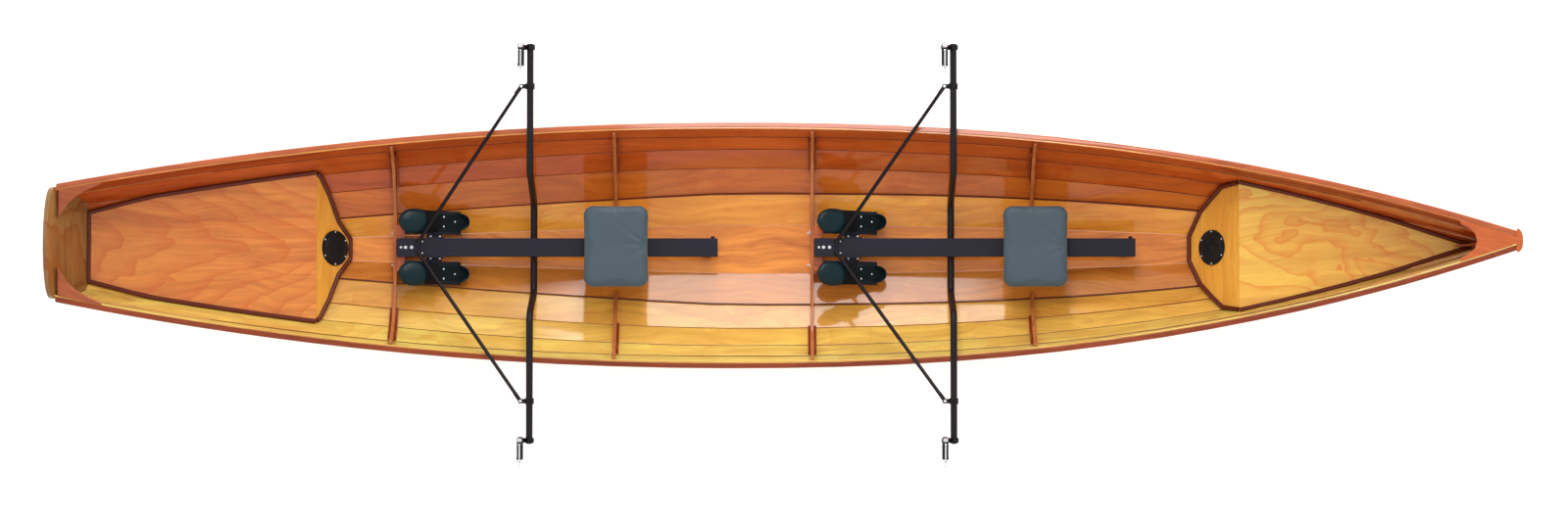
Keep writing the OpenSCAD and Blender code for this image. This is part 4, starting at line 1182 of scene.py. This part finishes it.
def pad_cover(node):
    """The pad's cover as an object: a rounded, crowned form with its wrinkles."""
    soft = settings().soft
    low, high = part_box(node)
    centre, size = middle(node), high - low
    bm = welded(node)
    edges = [e for e in bm.edges if abs(e.verts[0].co.z - e.verts[1].co.z) < 1e-5]
    bmesh.ops.bevel(bm, geom=edges, offset=9 * MM, offset_type="OFFSET", segments=3, profile=0.5,
                    affect="EDGES", material=-1, clamp_overlap=True)
    shrink = (Matrix.Translation(centre) @ Matrix.Diagonal((0.985, 0.985, 0.86, 1))
              @ Matrix.Translation(-centre))
    bmesh.ops.transform(bm, matrix=shrink, verts=bm.verts)
    bmesh.ops.triangulate(bm, faces=bm.faces)
    obj = placed("cover", as_mesh("cover", bm))
    remesh = obj.modifiers.new("even", "REMESH")
    remesh.mode = "VOXEL"
    remesh.voxel_size = soft.voxel
    settled(obj)
    inflated(obj, low.z + 0.4 * MM)
    finer = obj.modifiers.new("finer", "SUBSURF")
    finer.levels = finer.render_levels = 1
    settled(obj)
    for axis in (0, 1):
        reach = [v.co[axis] for v in obj.data.vertices]
        wide = size[axis] / (max(reach) - min(reach))
        for vert in obj.data.vertices:
            vert.co[axis] = centre[axis] + (vert.co[axis] - centre[axis]) * wide
    wrinkle(obj, Vector((high.x, centre.y, high.z)), size)
    return obj


# The creases of a pad's cover: how each leans across, and its share of the full depth.
CREASES = ((-0.75, 1.0), (-0.12, 0.8), (0.5, 0.45))


def wrinkle(obj, focus, size):
    """Presses creases that run out from the middle of the bow edge, and a shallow seat."""
    depth = settings().soft.crease
    heart = Vector((focus.x - size.x * 0.5, focus.y, 0))
    for vert in obj.data.vertices:
        if vert.co.z < focus.z - size.z * 0.55:
            continue
        away = focus - vert.co
        reach = max(away.x, 0.0) / size.x
        fade = max(0.0, 1.0 - reach / 0.52) * min(1.0, (reach + 0.02) / 0.10)
        for lean, weight in CREASES:
            off = abs(away.y - lean * away.x) / (7.0 * MM + 16 * MM * reach)
            vert.co.z -= depth * weight * fade * math.exp(-off * off)
        dish = (Vector((vert.co.x, vert.co.y, 0)) - heart).length
        vert.co.z -= 3.0 * MM * max(0.0, 1.0 - dish / (size.x * 0.45)) ** 2


class WHERRY_OT_seats(WherryPiece, bpy.types.Operator):
    """Seat pads, seat frames and wheels"""
    bl_idname = "wherry.seats"
    bl_label = "Seats"

    def execute(self, context):
        first = pad_cover(f"{UNITS[0]}_seat_pad")
        for unit in UNITS:
            node = f"{unit}_seat_pad"
            shift = middle(node) - middle(f"{UNITS[0]}_seat_pad")
            mesh = first.data.copy()
            mesh.name = f"{node}_piece"
            mesh.transform(Matrix.Translation(shift))
            obj = placed(f"{node}_piece", mesh)
            for face in mesh.polygons:
                face.use_smooth = True
            mesh.materials.clear()
            mesh.materials.append(material("vinyl"))
            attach(obj, BODY_OF[node])
            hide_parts(node)
            dress(f"{unit}_seat_frame", "steel", bevel=0.6 * MM)
            for axle in ("rear", "front"):
                dress(f"{unit}_{axle}_wheels", "nylon", bevel=1.0 * MM)
        bpy.data.objects.remove(first)
        return {"FINISHED"}


class WHERRY_OT_fasteners(WherryPiece, bpy.types.Operator):
    """Bolts, nuts and rivets"""
    bl_idname = "wherry.fasteners"
    bl_label = "Fasteners"
    # The foot frames' bolts: where they stand, and each one's half depths and radii.
    near_middle, apart, below = 90 * MM, 66 * MM, 9 * MM
    washer_and_nut = ((3.0 * MM, 5.5 * MM), (7.5 * MM, 4.0 * MM))

    def execute(self, context):
        dress("fasteners", "bright", bevel=0.4 * MM)
        bolts = bmesh.new()
        turn = Matrix.Rotation(math.pi / 2, 4, "Y")
        verts = [v.co for v in frame["nodes"]["foot_frames"].data.vertices
                 if abs(v.co.y) < self.near_middle]
        for way in (-1, 1):
            aft_face = min(p.x for p in verts if p.x * way > 0)
            crown = max(p.z for p in verts if p.x * way > 0 and p.x < aft_face + 4 * MM)
            for sign in (-1, 1):
                for reach, size in self.washer_and_nut:
                    spot = Matrix.Translation((aft_face - reach, sign * self.apart,
                                               crown - self.below))
                    bmesh.ops.create_cone(bolts, cap_ends=True, segments=18, radius1=size,
                                          radius2=size * 0.85, depth=2 * reach, matrix=spot @ turn)
        piece("foot_frame_bolts", bolts, "bright", "hull", bevel=0.5 * MM)
        return {"FINISHED"}


# ---------------------------------------------------------------- stage
def aimed(obj, target, up=Vector((0, 1, 0))):
    """Turns a light or camera to look at a place, with the given direction upwards."""
    back = (obj.location - target).normalized()
    right = up.cross(back).normalized()
    turn = Matrix((right, back.cross(right), back)).transposed()
    obj.rotation_euler = turn.to_euler()


def soft_light(name, spot, target, power, wide, tall):
    light = bpy.data.lights.new(name, "AREA")
    light.shape = "RECTANGLE"
    light.size, light.size_y = wide, tall
    light.energy = power
    obj = placed(name, light)
    obj.location = spot
    aimed(obj, target, Vector((1, 0, 0)))


class WHERRY_OT_stage(WherryPiece, bpy.types.Operator):
    """Pale floor, soft light and camera"""
    bl_idname = "wherry.stage"
    bl_label = "Stage"

    def execute(self, context):
        stage = settings().stage
        scene = context.scene
        floor = bmesh.new()
        bmesh.ops.create_grid(floor, x_segments=1, y_segments=1, size=40.0)
        obj = placed("floor", as_mesh("floor", floor))
        mat, _, shader, _ = new_material("floor")
        shader.inputs["Base Color"].default_value = (*stage.floor, 1.0)
        shader.inputs["Emission Color"].default_value = (1.0, 1.0, 1.0, 1.0)
        shader.inputs["Emission Strength"].default_value = stage.floor_glow
        shader.inputs["Roughness"].default_value = 0.9
        shader.inputs["Specular IOR Level"].default_value = 0.1
        obj.data.materials.append(mat)
        scene.view_settings.view_transform = "Standard"
        world = scene.world or bpy.data.worlds.new("even_light")
        scene.world = world
        world.use_nodes = True
        backdrop = world.node_tree.nodes["Background"]
        backdrop.inputs["Color"].default_value = (1.0, 1.0, 1.0, 1.0)
        backdrop.inputs["Strength"].default_value = stage.sky
        soft_light("key", Vector((0.0, 5.2, 4.4)), Vector((0, 0, 0.2)), stage.key, 9.0, 1.6)
        camera = bpy.data.cameras.new("camera")
        camera.lens = stage.lens
        camera.sensor_width = 36.0
        camera.clip_end = 200.0
        eye = placed("camera", camera)
        aim = Vector(stage.aim)
        eye.location = (aim.x, -stage.camera_back, stage.camera_height)
        aimed(eye, aim)
        scene.camera = eye
        return {"FINISHED"}


# ---------------------------------------------------------------- panel and registering
STEPS = ("planking", "laps", "timber", "decks", "hatches", "rails", "outriggers", "oarlocks",
         "shoes", "seats", "fasteners", "stage")


class WHERRY_PT_panel(bpy.types.Panel):
    """Sizes, colours and steps of the wherry."""
    bl_label = "Rowing Wherry"
    bl_idname = "WHERRY_PT_panel"
    bl_space_type = "VIEW_3D"
    bl_region_type = "UI"
    bl_category = "Wherry"

    def draw(self, context):
        groups = context.scene.wherry
        for name in ("wood", "rig", "soft", "stage"):
            box = self.layout.box()
            box.label(text=name.capitalize())
            group = getattr(groups, name)
            for field in group.bl_rna.properties:
                if not field.is_readonly and field.identifier != "name":
                    box.prop(group, field.identifier)
        for step in STEPS:
            self.layout.operator(f"wherry.{step}")


CLASSES = (WherryWood, WherryRig, WherrySoft, WherryStage, WherrySettings, WHERRY_OT_planking,
           WHERRY_OT_laps, WHERRY_OT_timber, WHERRY_OT_decks, WHERRY_OT_hatches, WHERRY_OT_rails,
           WHERRY_OT_outriggers, WHERRY_OT_oarlocks, WHERRY_OT_shoes, WHERRY_OT_seats,
           WHERRY_OT_fasteners, WHERRY_OT_stage, WHERRY_PT_panel)


def register():
    for item in CLASSES:
        bpy.utils.register_class(item)
    bpy.types.Scene.wherry = PointerProperty(type=WherrySettings)


def unregister():
    del bpy.types.Scene.wherry
    for item in reversed(CLASSES):
        bpy.utils.unregister_class(item)


def main():
    register()
    for step in STEPS:
        getattr(bpy.ops.wherry, step)()


if __name__ == "__main__":
    main()
